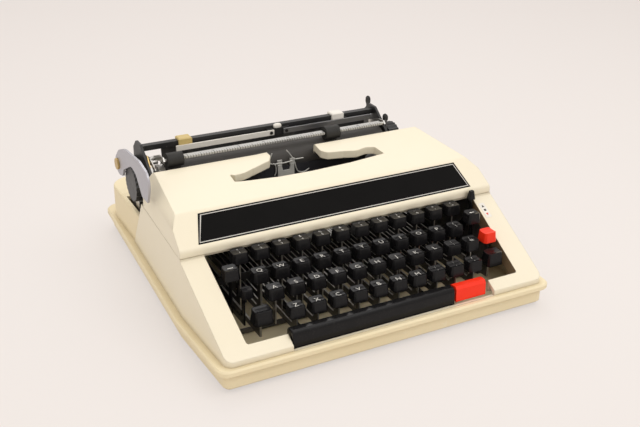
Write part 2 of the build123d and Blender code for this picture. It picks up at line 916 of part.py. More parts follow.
# Ribbon: two spools, each on a shelf between the basket post and the side plate
def ribbon_shelves():
    shelves = []
    half = chassis_half - chassis_plate
    top = spool_level - spool_height / 2 - spool_disc
    for sign in (-1, 1):
        inner = print_x + sign * (basket_post + post_plate)
        x_low = min(inner, sign * half)
        x_high = max(inner, sign * half)
        shelf = block(x_low, x_high, spool_depth - 24, spool_depth + 24, top - 1.6, top - body_gap)
        post = Pos(sign * spool_spread, y_at(spool_depth), z_at(spool_level))
        shelves.append(shelf + post * Cylinder(spool_pin, spool_height + 4))
    return shelves


def ribbon_wound(sign):
    return spool_radius - (4 if sign < 0 else 9)


def ribbon_spool(sign):
    disc = Cylinder(spool_radius, spool_disc)
    rise = (spool_height + spool_disc) / 2
    body = Pos(0, 0, -rise) * disc + Pos(0, 0, rise) * disc
    body += Cylinder(ribbon_wound(sign), spool_height)
    body -= Cylinder(spool_pin + shaft_fit, spool_height + 6)
    return Pos(sign * spool_spread, y_at(spool_depth), z_at(spool_level)) * body


def ribbon():
    # Flat band from the back of one spool, past the guide, to the other spool.
    path = []
    for sign in (-1, 1):
        edge = (sign * spool_spread, spool_depth + ribbon_wound(sign) + 0.4)
        bend = (print_x + sign * 24, ribbon_depth)
        path += [edge, bend] if sign < 0 else [bend, edge]
    near = [(x, y_at(d)) for x, d in path]
    far = [(x, y_at(d + ribbon_sheet)) for x, d in reversed(path)]
    low = spool_level - ribbon_width / 2
    return prism(make_face(Polyline(*near, *far, close=True)), low, low + ribbon_width)


# Carriage
def around_platen(radius, x_low, x_high):
    return rod(platen_depth, platen_height, radius, x_low, x_high)


def feed_height():
    reach = platen_radius + feed_radius + 0.3
    return platen_height - sqrt(reach**2 - (feed_depth - platen_depth) ** 2)


def lever_plane():
    # Outer face of the return lever, clear of the case side.
    slope = back_narrowing / (back_depth - widest_depth)
    case_half = half_width - case_inset - (platen_depth - widest_depth) * slope
    return -case_half - lever_plane_gap - lever_sheet


def carriage_end(side):
    # The front edge stays behind the cover, and the foot reaches down to the feed roller shaft.
    front = platen_depth - knob_radius
    outline = [
        (front, platen_height - 8),
        (front, platen_height + 10),
        (front + 27.5, platen_height + 31),
        (front + 39.5, platen_height + 31),
        (front + 47.5, platen_height + 23),
        (front + 47.5, beam_low),
        (front + 17.5, beam_low),
        (front + 8.5, platen_height - 17),
    ]
    low = end_left if side < 0 else end_right
    plate = side_profile(outline, low, low + end_plate)
    holes = [
        (platen_depth, platen_height, axle_radius),
        (feed_depth, feed_height(), feed_axle),
        (bail_pivot_depth, bail_pivot_height, bail_pivot_radius),
    ]
    for depth, height, radius in holes:
        plate -= rod(depth, height, radius + shaft_fit, low - 4, low + 8)
    if side < 0:
        boss_end = lever_plane() + lever_sheet + 0.1
        plate += rod(lever_pivot_depth, lever_pivot_height, lever_screw_radius * 2, boss_end, low + 0.5)
        plate -= rod(lever_pivot_depth, lever_pivot_height, lever_screw_radius, boss_end - 1, low + 4)
    return plate


def platen_roller():
    roller = around_platen(platen_radius, platen_left, platen_right)
    return roller - around_platen(axle_radius + press_fit, platen_left - 1, platen_right + 1)


def left_knob_start():
    return lever_plane() + lever_sheet + 0.8


def platen_shaft():
    return around_platen(axle_radius, left_knob_start() + 2, right_knob_start + knob_thickness - 2)


def knob(start, outward):
    # Ribbed grip, bored for the axle from its inner side.
    points = []
    for i in range(knob_ribs):
        valley = 2 * pi * i / knob_ribs
        ridge = valley + pi / knob_ribs
        inner = knob_radius - knob_rib_depth
        points.append((inner * cos(valley), inner * sin(valley)))
        points.append((knob_radius * cos(ridge), knob_radius * sin(ridge)))
    grip = extrude(make_face(Polyline(*points, close=True)), knob_thickness)
    bore_end = knob_thickness - 2
    bore = Pos(0, 0, bore_end / 2 - 1) * Cylinder(axle_radius + press_fit, bore_end + 2)
    x = start if outward > 0 else start + knob_thickness
    place = Pos(x, y_at(platen_depth), z_at(platen_height)) * Rot(0, 90 * outward, 0)
    return place * (grip - bore)


def line_ratchet():
    # Toothed wheel on the left of the platen, one tooth for each half line.
    root = ratchet_radius - 1.6
    points = []
    for i in range(ratchet_teeth):
        a = 2 * pi * i / ratchet_teeth
        b = a + 2 * pi / ratchet_teeth * 0.55
        points.append((root * cos(a), root * sin(a)))
        points.append((ratchet_radius * cos(b), ratchet_radius * sin(b)))
    wheel = extrude(make_face(Polyline(*points, close=True)), ratchet_thickness)
    wheel -= Cylinder(axle_radius + press_fit, 40)
    return Pos(ratchet_start, y_at(platen_depth), z_at(platen_height)) * Rot(0, 90, 0) * wheel


def line_spacer():
    # Detent bar above the ratchet and the pawl block behind it, both on the left end frame.
    low = end_left + end_plate
    high = ratchet_start + 2.5
    reach = ratchet_radius + 2.0 + body_gap
    angle = radians(68)
    bar = rod(platen_depth + reach * cos(angle), platen_height + reach * sin(angle), 2.0, low, high)
    near = platen_depth + ratchet_radius + body_gap
    outline = [
        (near, platen_height - 1),
        (near + 9, platen_height + 3),
        (near + 9, platen_height - 7),
        (near + 3, platen_height - 5),
    ]
    return [bar, side_profile(outline, low, high)]


def paper_table():
    # Curved pan under the platen that runs up behind it to the margin rail.
    inner = platen_radius + pan_gap
    outer = inner + pan_sheet
    low = platen_left + 4
    high = platen_right - 4
    ring = around_platen(outer, low, high) - around_platen(inner, low - 1, high + 1)
    front = platen_depth - 12.5
    keep = [
        (front, platen_height - 8),
        (front, platen_height - 30),
        (platen_depth + 30, platen_height - 30),
        (platen_depth + 30, platen_height + 0.5),
        (platen_depth + 14, platen_height + 0.5),
    ]
    body = ring & side_profile(keep, low - 1, high + 1)
    top = rail_bar_height - 5.2
    back = [
        (platen_depth + inner, platen_height - 0.5),
        (platen_depth + outer, platen_height - 0.5),
        (platen_depth + outer + 3.4, top),
        (platen_depth + inner + 3.4, top),
    ]
    body += side_profile(back, low, high)
    roller_gap = rod(feed_depth, feed_height(), feed_radius + 0.8, low - 1, high + 1)
    windows = []
    for x_low, x_high in feed_spans:
        windows.append(roller_gap & block(x_low - 1.5, x_high + 1.5, 200, 240, 50, 90))
    return body - Compound(children=windows)


def feed_rollers():
    body = rod(feed_depth, feed_height(), feed_axle, end_left - 0.8, end_right + end_plate + 0.8)
    for x_low, x_high in feed_spans:
        body += rod(feed_depth, feed_height(), feed_radius, x_low, x_high)
    return body


def carriage_frame():
    # Channel that runs on the fixed rail: a flat beam, a rear web, two side lips and a centre key.
    low = end_left + end_plate
    near = rail_depth - rail_width / 2
    far = rail_depth + rail_width / 2
    lip_top = beam_low + 0.6
    lip_end = end_right - 8
    body = block(low, end_right, near - 1.5, far + 4.5, beam_low, beam_top)
    body += block(low, end_right, far + 2.5, far + 4.5, beam_top - 0.2, beam_top + 12)
    for edge in (near - 2.1, far + 0.1):
        body += block(guide_start, lip_end, edge, edge + 2, rail_bottom + 1, lip_top)
    key = rail_groove / 2 - 0.1
    body += block(guide_start, lip_end, rail_depth - key, rail_depth + key, rail_top - 1.4, lip_top)
    return body + rack()


def margin_rail():
    half = rail_bar_size / 2
    near = rail_bar_depth - half
    low = rail_bar_height - half
    return block(end_left + end_plate, end_right, near, near + rail_bar_size, low, low + rail_bar_size - 1)


def margin_stop(x):
    half = rail_bar_size / 2
    side = stop_width / 2
    reach = half + 2.2
    low = rail_bar_height - half
    high = rail_bar_height + half
    body = block(x - side, x + side, rail_bar_depth - reach, rail_bar_depth + reach, low - 1.4, high + 1.2)
    fit = half + 0.1
    hole = block(x - 9, x + 9, rail_bar_depth - fit, rail_bar_depth + fit, low - 0.1, high - 0.9)
    return chamfer(body.edges().group_by(Axis.Z)[-1], 0.9) - hole


# Paper bail: a rod with a scale plate and two rubber rollers, on two arms
def bail_point():
    reach = platen_radius + bail_roller_radius + 0.3
    angle = radians(bail_angle)
    return platen_depth - reach * cos(angle), platen_height + reach * sin(angle)


def paper_bail():
    depth, height = bail_point()
    body = rod(depth, height, bail_rod_radius, bail_left_x, bail_right_x)
    clear = bail_roller_length / 2 + 1
    spans = [
        (bail_roller_x["left"] + clear, bail_roller_x["right"] - clear),
        (bail_roller_x["right"] + clear, bail_right_x - 4.5),
    ]
    for x_low, x_high in spans:
        body += block(x_low, x_high, depth - 4.2, depth + 2.8, height + 1.2, height + 2.1)
    arm = [
        (depth - 3, height),
        (depth, height + 3),
        (depth + 12, height + 1.5),
        (bail_pivot_depth + 3, bail_pivot_height + 1.5),
        (bail_pivot_depth + 2, bail_pivot_height - 3),
        (bail_pivot_depth - 2, bail_pivot_height - 3),
        (depth + 11, height - 3.5),
        (depth, height - 3),
    ]
    for x in (bail_left_x, bail_right_x - bail_arm):
        body += side_profile(arm, x, x + bail_arm)
    left_pin = (end_left + 0.2, bail_left_x + 0.5)
    right_pin = (bail_right_x - 0.5, end_right + end_plate - 0.2)
    for x_low, x_high in (left_pin, right_pin):
        body += rod(bail_pivot_depth, bail_pivot_height, bail_pivot_radius, x_low, x_high)
    return body


def bail_roller(x):
    depth, height = bail_point()
    half = bail_roller_length / 2
    body = rod(depth, height, bail_roller_radius, x - half, x + half)
    return body - rod(depth, height, bail_rod_radius + shaft_fit, x - 20, x + 20)


def return_lever():
    # Flat lever that arches over the knob and folds down in front of it.
    outer = [
        (240, 87),
        (251, 90),
        (250, 101),
        (238, 112),
        (220, 119.5),
        (178, 123),
        (153.5, 119),
        (154.5, 104),
        (160, 91.5),
        (174, 91.5),
        (189, 107.5),
        (202, 109.6),
        (226, 97),
        (230, 89),
    ]
    radii = [5, 6, 8, 20, 60, 9, 11, 14, 0, 0, 14, 16, 6, 4]
    x = lever_plane()
    points = [(x, y_at(d), z_at(h)) for d, h in outer]
    wire = FilletPolyline(*points, radius=radii, close=True)
    plate = extrude(make_face(wire), lever_sheet, dir=(1, 0, 0))
    return plate - rod(lever_pivot_depth, lever_pivot_height, lever_screw_radius + shaft_fit, x - 5, x + 8)


def lever_screw():
    x = lever_plane()
    shank = rod(lever_pivot_depth, lever_pivot_height, lever_screw_radius - press_fit, x - 1, end_left)
    head = rod(lever_pivot_depth, lever_pivot_height, lever_screw_radius * 2 + 0.2, x - 2.0, x - 0.1)
    return shank + head


def small_release_lever(outline, pivot):
    # Thin lever beside the right end frame, on a short pin against it.
    plate = end_right + end_plate
    x = plate + small_lever_gap
    depth, height = pivot
    body = side_profile(outline, x, x + small_lever)
    return body + rod(depth, height, 2.0, plate + 0.05, x + 0.5)


def paper_release_lever():
    outline = [(236, 92), (241, 92), (246.5, 112), (248.5, 121), (244.5, 122), (241.5, 113), (234.5, 97)]
    return small_release_lever(outline, release_pivot)


def carriage_release_lever():
    outline = [(199, 84), (203, 82), (211, 96), (214, 110), (209, 111), (206, 98)]
    return small_release_lever(outline, unlock_pivot)


def support_middle():
    return print_x + 6


def paper_support(side):
    # Flat arm folded along the margin rail, pivoted beside the centre clip.
    pivot = support_middle() + side * 8
    tip = pivot + side * support_length
    low = min(pivot - side * 3, tip)
    high = max(pivot - side * 3, tip)
    arm = block(low, high, 224.3, 225.9, support_height - 2.5, support_height + 2.5)
    return arm - along_depth(pivot, support_height, support_pin + shaft_fit, 221, 229)


def support_clip():
    middle = support_middle()
    near = 226.2
    body = block(middle - 12, middle + 12, near, rail_bar_depth - rail_bar_size / 2, 105.5, 112.5)
    for side in (-1, 1):
        body += along_depth(middle + side * 8, support_height, support_pin, 223.5, near + 0.7)
    return body


def rack():
    # Pointed teeth that hang down from the beam; the wheel's teeth are slimmer, so they have play.
    points = [(rack_start, rack_line + 4)]
    for i in range(rack_teeth):
        x = rack_start + rack_pitch * i
        points.append((x, rack_line + tooth_root))
        points.append((x + rack_pitch / 2, rack_line - tooth_tip))
    high = rack_start + rack_pitch * rack_teeth
    points += [(high, rack_line + tooth_root), (high, rack_line + 4)]
    corners = [(x, y_at(rack_depth), z_at(h)) for x, h in points]
    strip = extrude(make_face(Polyline(*corners, close=True)), rack_face, dir=(0, 1, 0))
    return strip + block(rack_start, high, rack_depth - 2, rack_depth + rack_face, rack_line + 3.2, beam_top)


def escape_wheel():
    points = []
    for i in range(escape_teeth):
        for share, reach in ((0, wheel_tip), (0.5, -tooth_root)):
            a = 2 * pi * (i + share) / escape_teeth
            x = escape_x + (escape_radius + reach) * sin(a)
            z = z_at(escape_height) + (escape_radius + reach) * cos(a)
            points.append((x, y_at(rack_depth), z))
    wheel = extrude(make_face(Polyline(*points, close=True)), rack_face, dir=(0, 1, 0))
    pin_end = rack_depth + rack_face + 5
    return wheel + along_depth(escape_x, escape_height, pin_radius, rack_depth + 1, pin_end)


def escape_bracket():
    low = rack_depth + rack_face + body_gap
    plate = block(escape_x - 7, escape_x + 7, low, low + 2, 30, escape_height + 5)
    foot = block(escape_x - 7, escape_x + 7, low + 1, chassis_back - 2, 30, 33)
    hole = along_depth(escape_x, escape_height, pin_radius + shaft_fit, low - 3, low + 6)
    return plate + foot - hole


def mainspring_drum():
    end = drum_start + drum_thickness
    can = along_depth(drum_x, drum_height, drum_radius, drum_start, end)
    return can - along_depth(drum_x, drum_height, drum_post_radius + shaft_fit, drum_start - 2, end + 2)


def drum_post():
    return along_depth(drum_x, drum_height, drum_post_radius, drum_start - 0.5, chassis_back - 2)


def dome_points(radius, angles):
    return [(radius * cos(radians(a)), radius * sin(radians(a))) for a in angles]


def bell():
    # Spun dome, open to the front, on a post from the rear tie bar.
    rings = [8, 44]
    inner_radius = bell_radius - bell_wall
    hole = bell_post_radius + press_fit
    crown = [(hole, sqrt(bell_radius**2 - hole**2)), (hole, sqrt(inner_radius**2 - hole**2))]
    section = dome_points(bell_radius, rings) + crown + dome_points(inner_radius, rings[::-1])
    face = Plane.XZ * make_face(Polyline(*section, close=True))
    dome = revolve(face, Axis.Z)
    centre = chassis_back - tie_plate - 1.3 - bell_radius
    return Pos(bell_x, y_at(centre), z_at(bell_height)) * Rot(-90, 0, 0) * dome


def bell_post():
    return along_depth(bell_x, bell_height, bell_post_radius, chassis_back - 8, chassis_back - 2)


def colour_selector():
    # Small upright lever in a slot of the right rail, with a tapered plastic cap.
    d, h = selector_pivot
    low = selector_x - selector_sheet / 2
    foot = [(d - 3.5, h - 3), (d + 3.5, h - 3), (d + 4, h + 4)]
    outline = foot + [(86.0, 60), (85.6, 72), (81.6, 72), (81.6, 58)]
    shank = side_profile(outline, low, low + selector_sheet)
    shank -= rod(d, h, pin_radius + shaft_fit, low - 2, low + 4)
    cap = extrude(cut_corner_face(7.4, 6.2, 1.2), 13, taper=3.5)
    return shank + Pos(selector_x + 0.5, y_at(83.4), z_at(71)) * cap


def selector_post():
    d, h = selector_pivot
    return rod(d, h, pin_radius, selector_x - 1.2, chassis_half - chassis_plate + 0.5)


def main():
    os.makedirs("parts", exist_ok=True)
    pieces = {
        "base_tray": base_tray(),
        "base_feet": base_feet(),
        "housing": housing(),
        "top_cover": top_cover(),
        "stripe_panel": stripe_solid(0, stripe_thickness, 0),
        "space_bar": space_bar(),
        "repeat_bar": repeat_bar(),
        "shift_frame": shift_frame(),
        "shift_keys": shift_caps(),
        "shift_lock": shift_lock(),
        "chassis": chassis(),
        "fulcrum_rod": fulcrum_rod(),
        "key_comb": key_comb(),
        "carriage_rail": carriage_rail(),
        "type_segment": segment(),
        "type_bars": type_bars(),
        "type_guide": type_guide(),
        "ribbon_plates": ribbon_shelves(),
        "ribbon_spool_left": ribbon_spool(-1),
        "ribbon_spool_right": ribbon_spool(1),
        "ribbon": ribbon(),
        "platen": platen_roller(),
        "platen_shaft": platen_shaft(),
        "platen_knob_left": knob(left_knob_start(), -1),
        "platen_knob_right": knob(right_knob_start, 1),
        "line_ratchet": line_ratchet(),
        "line_spacer": line_spacer(),
        "carriage_end_left": carriage_end(-1),
        "carriage_end_right": carriage_end(1),
        "carriage_frame": carriage_frame(),
        "paper_table": paper_table(),
        "feed_rollers": feed_rollers(),
        "margin_rail": margin_rail(),
        "margin_stop_left": margin_stop(stop_places["left"]),
        "margin_stop_right": margin_stop(stop_places["right"]),
        "paper_bail": paper_bail(),
        "bail_roller_left": bail_roller(bail_roller_x["left"]),
        "bail_roller_right": bail_roller(bail_roller_x["right"]),
        "return_lever": return_lever(),
        "lever_screw": lever_screw(),
        "paper_release_lever": paper_release_lever(),
        "carriage_release_lever": carriage_release_lever(),
        "support_clip": support_clip(),
        "paper_support_left": paper_support(-1),
        "paper_support_right": paper_support(1),
        "escape_wheel": escape_wheel(),
        "mainspring_drum": mainspring_drum(),
        "bell": bell(),
        "colour_selector": colour_selector(),
    }
    for name in function_keys:
        pieces[name] = function_key(name)
    for row in key_rows:
        pieces[f"{row}_row_caps"], pieces[f"{row}_row_levers"] = key_row(row)
    for name, shape in pieces.items():
        save(shape, name)


main()
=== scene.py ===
import math

import bmesh
import bpy
import numpy as np
from mathutils import Matrix, Vector


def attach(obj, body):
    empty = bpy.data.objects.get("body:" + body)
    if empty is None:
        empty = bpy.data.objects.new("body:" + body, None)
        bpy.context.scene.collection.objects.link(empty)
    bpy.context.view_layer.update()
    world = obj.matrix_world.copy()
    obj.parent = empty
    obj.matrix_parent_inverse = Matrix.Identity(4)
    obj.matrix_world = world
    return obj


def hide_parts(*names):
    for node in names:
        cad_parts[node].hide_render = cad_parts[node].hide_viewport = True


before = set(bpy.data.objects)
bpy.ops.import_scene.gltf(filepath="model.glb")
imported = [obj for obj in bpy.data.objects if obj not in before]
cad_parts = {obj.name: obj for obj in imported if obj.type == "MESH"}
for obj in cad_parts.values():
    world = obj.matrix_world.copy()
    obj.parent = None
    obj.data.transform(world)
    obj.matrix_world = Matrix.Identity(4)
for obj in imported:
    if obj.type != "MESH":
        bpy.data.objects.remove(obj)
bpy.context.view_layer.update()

print("frame loaded:", len(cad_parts), "nodes")

mm = 0.001
weld = 1e-6  # points nearer than this are one
flatAngle = math.radians(0.6)  # neighbouring faces that meet at less are merged


def placed(depth, height):
    # depth behind the base wall's front and height above its underside, in mm, as y and z in metres
    return (depth - 160) * mm, (height + 3) * mm


# paper bail: its rod's place, and the scale plate round it
bailPlace = placed(205.36, 107.66)
bailPlate = {"front": 0.0042, "back": 0.0028, "top": 0.0021}


# camera at the photograph's viewpoint: yaw to the right of +Y, pitch below the horizon
viewpoint = {"place": (-0.370, -0.712, 0.437), "yaw": 28.21, "pitch": 25.59, "roll": -1.06, "lens": 53.44,
             "sensor": 36, "reach": 50}


def makeCamera(v):
    yaw, pitch, roll = (math.radians(v[k]) for k in ("yaw", "pitch", "roll"))
    ahead = Vector((math.sin(yaw) * math.cos(pitch), math.cos(yaw) * math.cos(pitch), -math.sin(pitch)))
    right = Vector((math.cos(yaw), -math.sin(yaw), 0))
    down = ahead.cross(right)
    turnedRight = math.cos(roll) * right + math.sin(roll) * down
    turnedDown = math.cos(roll) * down - math.sin(roll) * right
    data = bpy.data.cameras.new("camera")
    data.lens = v["lens"]
    data.sensor_width = v["sensor"]
    data.clip_end = v["reach"]
    cam = bpy.data.objects.new("camera", data)
    axes = Matrix((turnedRight, -turnedDown, -ahead)).transposed()
    cam.matrix_world = Matrix.Translation(v["place"]) @ axes.to_4x4()
    bpy.context.scene.collection.objects.link(cam)
    bpy.context.scene.camera = cam


makeCamera(viewpoint)
bpy.context.scene.view_settings.view_transform = "Standard"

# lamps: a wide soft one high in front on the right, a weaker one over the back and a low fill on the left
lamps = {
    "keyLamp": {"place": (0.65, -1.05, 1.8), "aim": (0, 0, 0.05), "size": 1.5, "watts": 10},
    "backLamp": {"place": (0.5, 1.2, 1.5), "aim": (0, 0, 0.08), "size": 1.3, "watts": 6},
    "leftFill": {"place": (-1.6, -0.9, 0.5), "aim": (0, 0, 0.08), "size": 1.2, "watts": 0.8},
}
# sky light: its strength at the horizon and overhead, and what the camera sees past the floor
ambient = {"colour": (1.0, 0.94, 0.89), "low": 0.62, "high": 1.12, "shown": (0.76, 0.70, 0.67)}


def makeLamp(name, spec):
    data = bpy.data.lights.new(name, "AREA")
    data.shape = "DISK"
    data.size = spec["size"]
    data.energy = spec["watts"]
    lamp = bpy.data.objects.new(name, data)
    aim = Vector(spec["aim"]) - Vector(spec["place"])
    lamp.matrix_world = Matrix.Translation(spec["place"]) @ aim.to_track_quat("-Z", "Y").to_matrix().to_4x4()
    bpy.context.scene.collection.objects.link(lamp)


for lampName, lampSpec in lamps.items():
    makeLamp(lampName, lampSpec)


class Value:
    # A number socket: sums, products and the like between Values and numbers add Math nodes.
    def __init__(self, tree, socket):
        self.tree = tree
        self.socket = socket

    def operate(self, operation, first, second=None, clamp=False):
        step = self.tree.nodes.new("ShaderNodeMath")
        step.operation = operation
        step.use_clamp = clamp
        for slot, item in enumerate((first, second)):
            if isinstance(item, Value):
                self.tree.links.new(item.socket, step.inputs[slot])
            elif item is not None:
                step.inputs[slot].default_value = item
        return Value(self.tree, step.outputs[0])

    def __add__(self, other):
        return self.operate("ADD", self, other)

    def __radd__(self, other):
        return self.operate("ADD", other, self)

    def __sub__(self, other):
        return self.operate("SUBTRACT", self, other)

    def __rsub__(self, other):
        return self.operate("SUBTRACT", other, self)

    def __mul__(self, other):
        return self.operate("MULTIPLY", self, other)

    def __rmul__(self, other):
        return self.operate("MULTIPLY", other, self)

    def __truediv__(self, other):
        return self.operate("DIVIDE", self, other)

    def __abs__(self):
        return self.operate("ABSOLUTE", self)

    def over(self, limit):
        return self.operate("GREATER_THAN", self, limit)

    def under(self, limit):
        return self.operate("LESS_THAN", self, limit)

    def wave(self):
        return self.operate("SINE", self)

    def fraction(self):
        return self.operate("FRACT", self)

    def clamped(self):
        return self.operate("ADD", self, 0.0, clamp=True)


class Finish:
    # One node material. node() takes a type, its settings and the values or links of its sockets.
    def __init__(self, name):
        self.material = bpy.data.materials.new(name)
        self.material.use_nodes = True
        self.tree = self.material.node_tree
        self.tree.nodes.clear()
        self.shader = self.tree.nodes.new("ShaderNodeBsdfPrincipled")
        output = self.tree.nodes.new("ShaderNodeOutputMaterial")
        self.tree.links.new(self.shader.outputs[0], output.inputs[0])
        self.place = self.node("ShaderNodeTexCoord").outputs["Object"]

    def node(self, kind, settings=None, sockets=None):
        made = self.tree.nodes.new(kind)
        for key, value in (settings or {}).items():
            setattr(made, key, value)
        for key, value in (sockets or {}).items():
            self.plug(value, made.inputs[key])
        return made

    def plug(self, value, socket):
        if isinstance(value, Value):
            self.tree.links.new(value.socket, socket)
        elif isinstance(value, bpy.types.NodeSocket):
            self.tree.links.new(value, socket)
        elif isinstance(value, (tuple, list)) and len(value) == 3 and socket.type == "RGBA":
            socket.default_value = (*value, 1)
        else:
            socket.default_value = value

    def value(self, socket):
        return Value(self.tree, socket)

    def stretched(self, scale, turn=(0, 0, 0)):
        # object coordinates squeezed along each axis, for brushed and drawn metal
        mapped = self.node("ShaderNodeMapping", {}, {"Vector": self.place, "Scale": scale, "Rotation": turn})
        return mapped.outputs[0]

    def noise(self, scale, detail=3.0, rough=0.55, where=None):
        # cloud of values round 0.5
        sockets = {"Vector": where or self.place, "Scale": scale, "Detail": detail, "Roughness": rough}
        return self.value(self.node("ShaderNodeTexNoise", {}, sockets).outputs[0])

    def specks(self, scale, share):
        # 1 inside small round specks, 0 elsewhere: the cell's centre nearer than the share
        sockets = {"Vector": self.place, "Scale": scale}
        return self.value(self.node("ShaderNodeTexVoronoi", {}, sockets).outputs["Distance"]).under(share)

    def mix(self, share, first, second):
        made = self.node("ShaderNodeMix", {"data_type": "RGBA"}, {0: share, 6: first, 7: second})
        return made.outputs[2]

    def axis(self, index):
        return self.value(self.node("ShaderNodeSeparateXYZ", {}, {0: self.place}).outputs[index])

    def rounded(self, radius, bump=None, depth=0.0):
        # softened edges, with a fine relief on top
        sockets = {"Radius": radius}
        edge = self.node("ShaderNodeBevel", {"samples": 4}, sockets).outputs[0]
        if bump is None:
            return edge
        return self.node("ShaderNodeBump", {}, {"Height": bump, "Distance": depth, "Normal": edge}).outputs[0]

    def set(self, **sockets):
        names = {"colour": "Base Color", "rough": "Roughness", "metal": "Metallic", "normal": "Normal",
                 "coat": "Coat Weight", "coatRough": "Coat Roughness", "specular": "Specular IOR Level"}
        for key, value in sockets.items():
            self.plug(value, self.shader.inputs[names[key]])
        return self.material


# the opening's side walls, painted dark brown as shade in casePlastic: half width at y = 0, widening by slope
# per metre of depth
wellWall = {"slope": 0.0394, "edge": 0.1351, "front": -0.1480, "back": -0.0735, "top": 0.0745}


def casePlastic():
    # cream shell: slow yellowing, painted shade in the corners and creases and on the opening's inner walls,
    # fine moulded grain
    f = Finish("casePlastic")
    slow = f.noise(9, 4)
    colour = f.mix(slow, (0.815, 0.75, 0.57), (0.855, 0.80, 0.65))
    # painted shade: the colour goes dark brown where ambient occlusion finds creases and corners, unevenly by
    # noise
    crease = f.node("ShaderNodeAmbientOcclusion", {"samples": 6, "only_local": False}, {"Distance": 0.005})
    creaseShade = (1 - f.value(crease.outputs["AO"])) * 0.75 * (f.noise(60) + 0.3)
    colour = f.mix(creaseShade.clamped(), colour, (0.36, 0.27, 0.14))
    colour = f.mix(f.specks(160, 0.035) * f.noise(14).over(0.56) * 0.5, colour, (0.42, 0.34, 0.20))
    # painted shade: the inner walls of the keyboard's opening, nearer the middle than the sloping edge line,
    # are painted dark brown as if in shadow
    across = abs(f.axis(0)) - f.axis(1) * wellWall["slope"]
    wellShade = across.under(wellWall["edge"]) * f.axis(1).under(wellWall["back"])
    wellShade = wellShade * f.axis(2).under(wellWall["top"]) * f.axis(1).over(wellWall["front"])
    colour = f.mix(wellShade * 0.88, colour, (0.16, 0.085, 0.028))
    rough = 0.30 + f.noise(34, 5) * 0.16
    return f.set(colour=colour, rough=rough, normal=f.rounded(0.0012, f.noise(900, 2), 0.00003), specular=0.4)


def basePlastic():
    # the tray is yellower and duller than the shell, and scuffed, with painted shade in its creases
    f = Finish("basePlastic")
    colour = f.mix(f.noise(7, 4), (0.80, 0.69, 0.44), (0.86, 0.77, 0.55))
    # painted shade: the colour goes dark brown where ambient occlusion finds creases and corners, unevenly by
    # noise
    crease = f.node("ShaderNodeAmbientOcclusion", {"samples": 6, "only_local": False}, {"Distance": 0.006})
    creaseShade = (1 - f.value(crease.outputs["AO"])) * 0.8 * (f.noise(45) + 0.3)
    colour = f.mix(creaseShade.clamped(), colour, (0.34, 0.24, 0.11))
    scuff = f.noise(6, 6, where=f.stretched((30, 90, 30))).over(0.66) * 0.25
    colour = f.mix(scuff, colour, (0.90, 0.84, 0.68))
    rough = 0.42 + f.noise(40, 5) * 0.18
    return f.set(colour=colour, rough=rough, normal=f.rounded(0.0007, f.noise(700, 2), 0.00004), specular=0.4)


def stripeLacquer():
    f = Finish("stripeLacquer")
    colour = f.mix(f.noise(40), (0.0045, 0.0045, 0.0045), (0.0075, 0.0073, 0.007))
    scratch = f.noise(8, 7, where=f.stretched((60, 900, 900), (0.5, 0, 0.2))).over(0.70) * 0.2
    colour = f.mix(scratch, colour, (0.03, 0.03, 0.03))
    return f.set(colour=colour, rough=0.30 + f.noise(60) * 0.12, normal=f.rounded(0.0002), specular=0.035)


def keyPlastic():
    # black caps, glossy, with a trace of dust
    f = Finish("keyPlastic")
    colour = f.mix(f.noise(90), (0.006, 0.006, 0.007), (0.011, 0.0105, 0.011))
    dust = f.noise(500, 4).over(0.60) * 0.06
    colour = f.mix(dust, colour, (0.09, 0.08, 0.065))
    rough = 0.12 + f.noise(160, 4) * 0.12
    relief = f.rounded(0.0011, f.noise(1500, 2), 0.00002)
    return f.set(colour=colour, rough=rough, normal=relief, specular=0.18)


# the red keys' caps are what stands above this height or in front of this depth; the rest is their levers
redCap = {"above": 0.050, "front": -0.1440}


def redPlastic():
    # red on the caps only, and the levers are dark
    f = Finish("redPlastic")
    colour = f.mix(f.noise(70), (0.90, 0.026, 0.006), (0.97, 0.040, 0.010))
    cap = (f.axis(2).over(redCap["above"]) + f.axis(1).under(redCap["front"])).clamped()
    colour = f.mix(cap, (0.04, 0.039, 0.037), colour)
    rough = 0.30 + f.noise(150, 4) * 0.14
    relief = f.rounded(0.0007, f.noise(1500, 2), 0.00002)
    return f.set(colour=colour, rough=rough, normal=relief, specular=0.28)


def brightSteel():
    # nickelled strip: drawn lines, dull patches and a few rust freckles
    f = Finish("brightSteel")
    lines = f.noise(5, 5, where=f.stretched((900, 40, 900)))
    colour = f.mix(lines, (0.42, 0.41, 0.39), (0.66, 0.65, 0.62))
    rust = f.noise(120, 6).over(0.68) * 0.5
    colour = f.mix(rust, colour, (0.20, 0.11, 0.05))
    rough = 0.24 + lines * 0.22
    return f.set(colour=colour, rough=rough, metal=1 - rust * 0.8, normal=f.rounded(0.0002, lines, 0.00002))


def leverSteel():
    # blackened steel strip that is rubbed bright in streaks
    f = Finish("leverSteel")
    lines = f.noise(5, 5, where=f.stretched((900, 60, 60)))
    colour = f.mix(lines, (0.035, 0.034, 0.033), (0.13, 0.125, 0.12))
    worn = f.noise(40, 6).over(0.62) * 0.55
    colour = f.mix(worn, colour, (0.36, 0.35, 0.33))
    # painted highlight: the strip's thin edges, which face away from x, are painted pale as if catching the
    # light
    facing = f.node("ShaderNodeSeparateXYZ", {}, {0: f.node("ShaderNodeNewGeometry").outputs["Normal"]})
    edgeGlint = abs(f.value(facing.outputs[0])).under(0.5) * (f.noise(70, 4) + 0.25)
    colour = f.mix(edgeGlint.clamped(), colour, (0.62, 0.60, 0.56))
    rough = 0.30 + lines * 0.2
    return f.set(colour=colour, rough=rough, metal=0.85, normal=f.rounded(0.0002, lines, 0.00002))


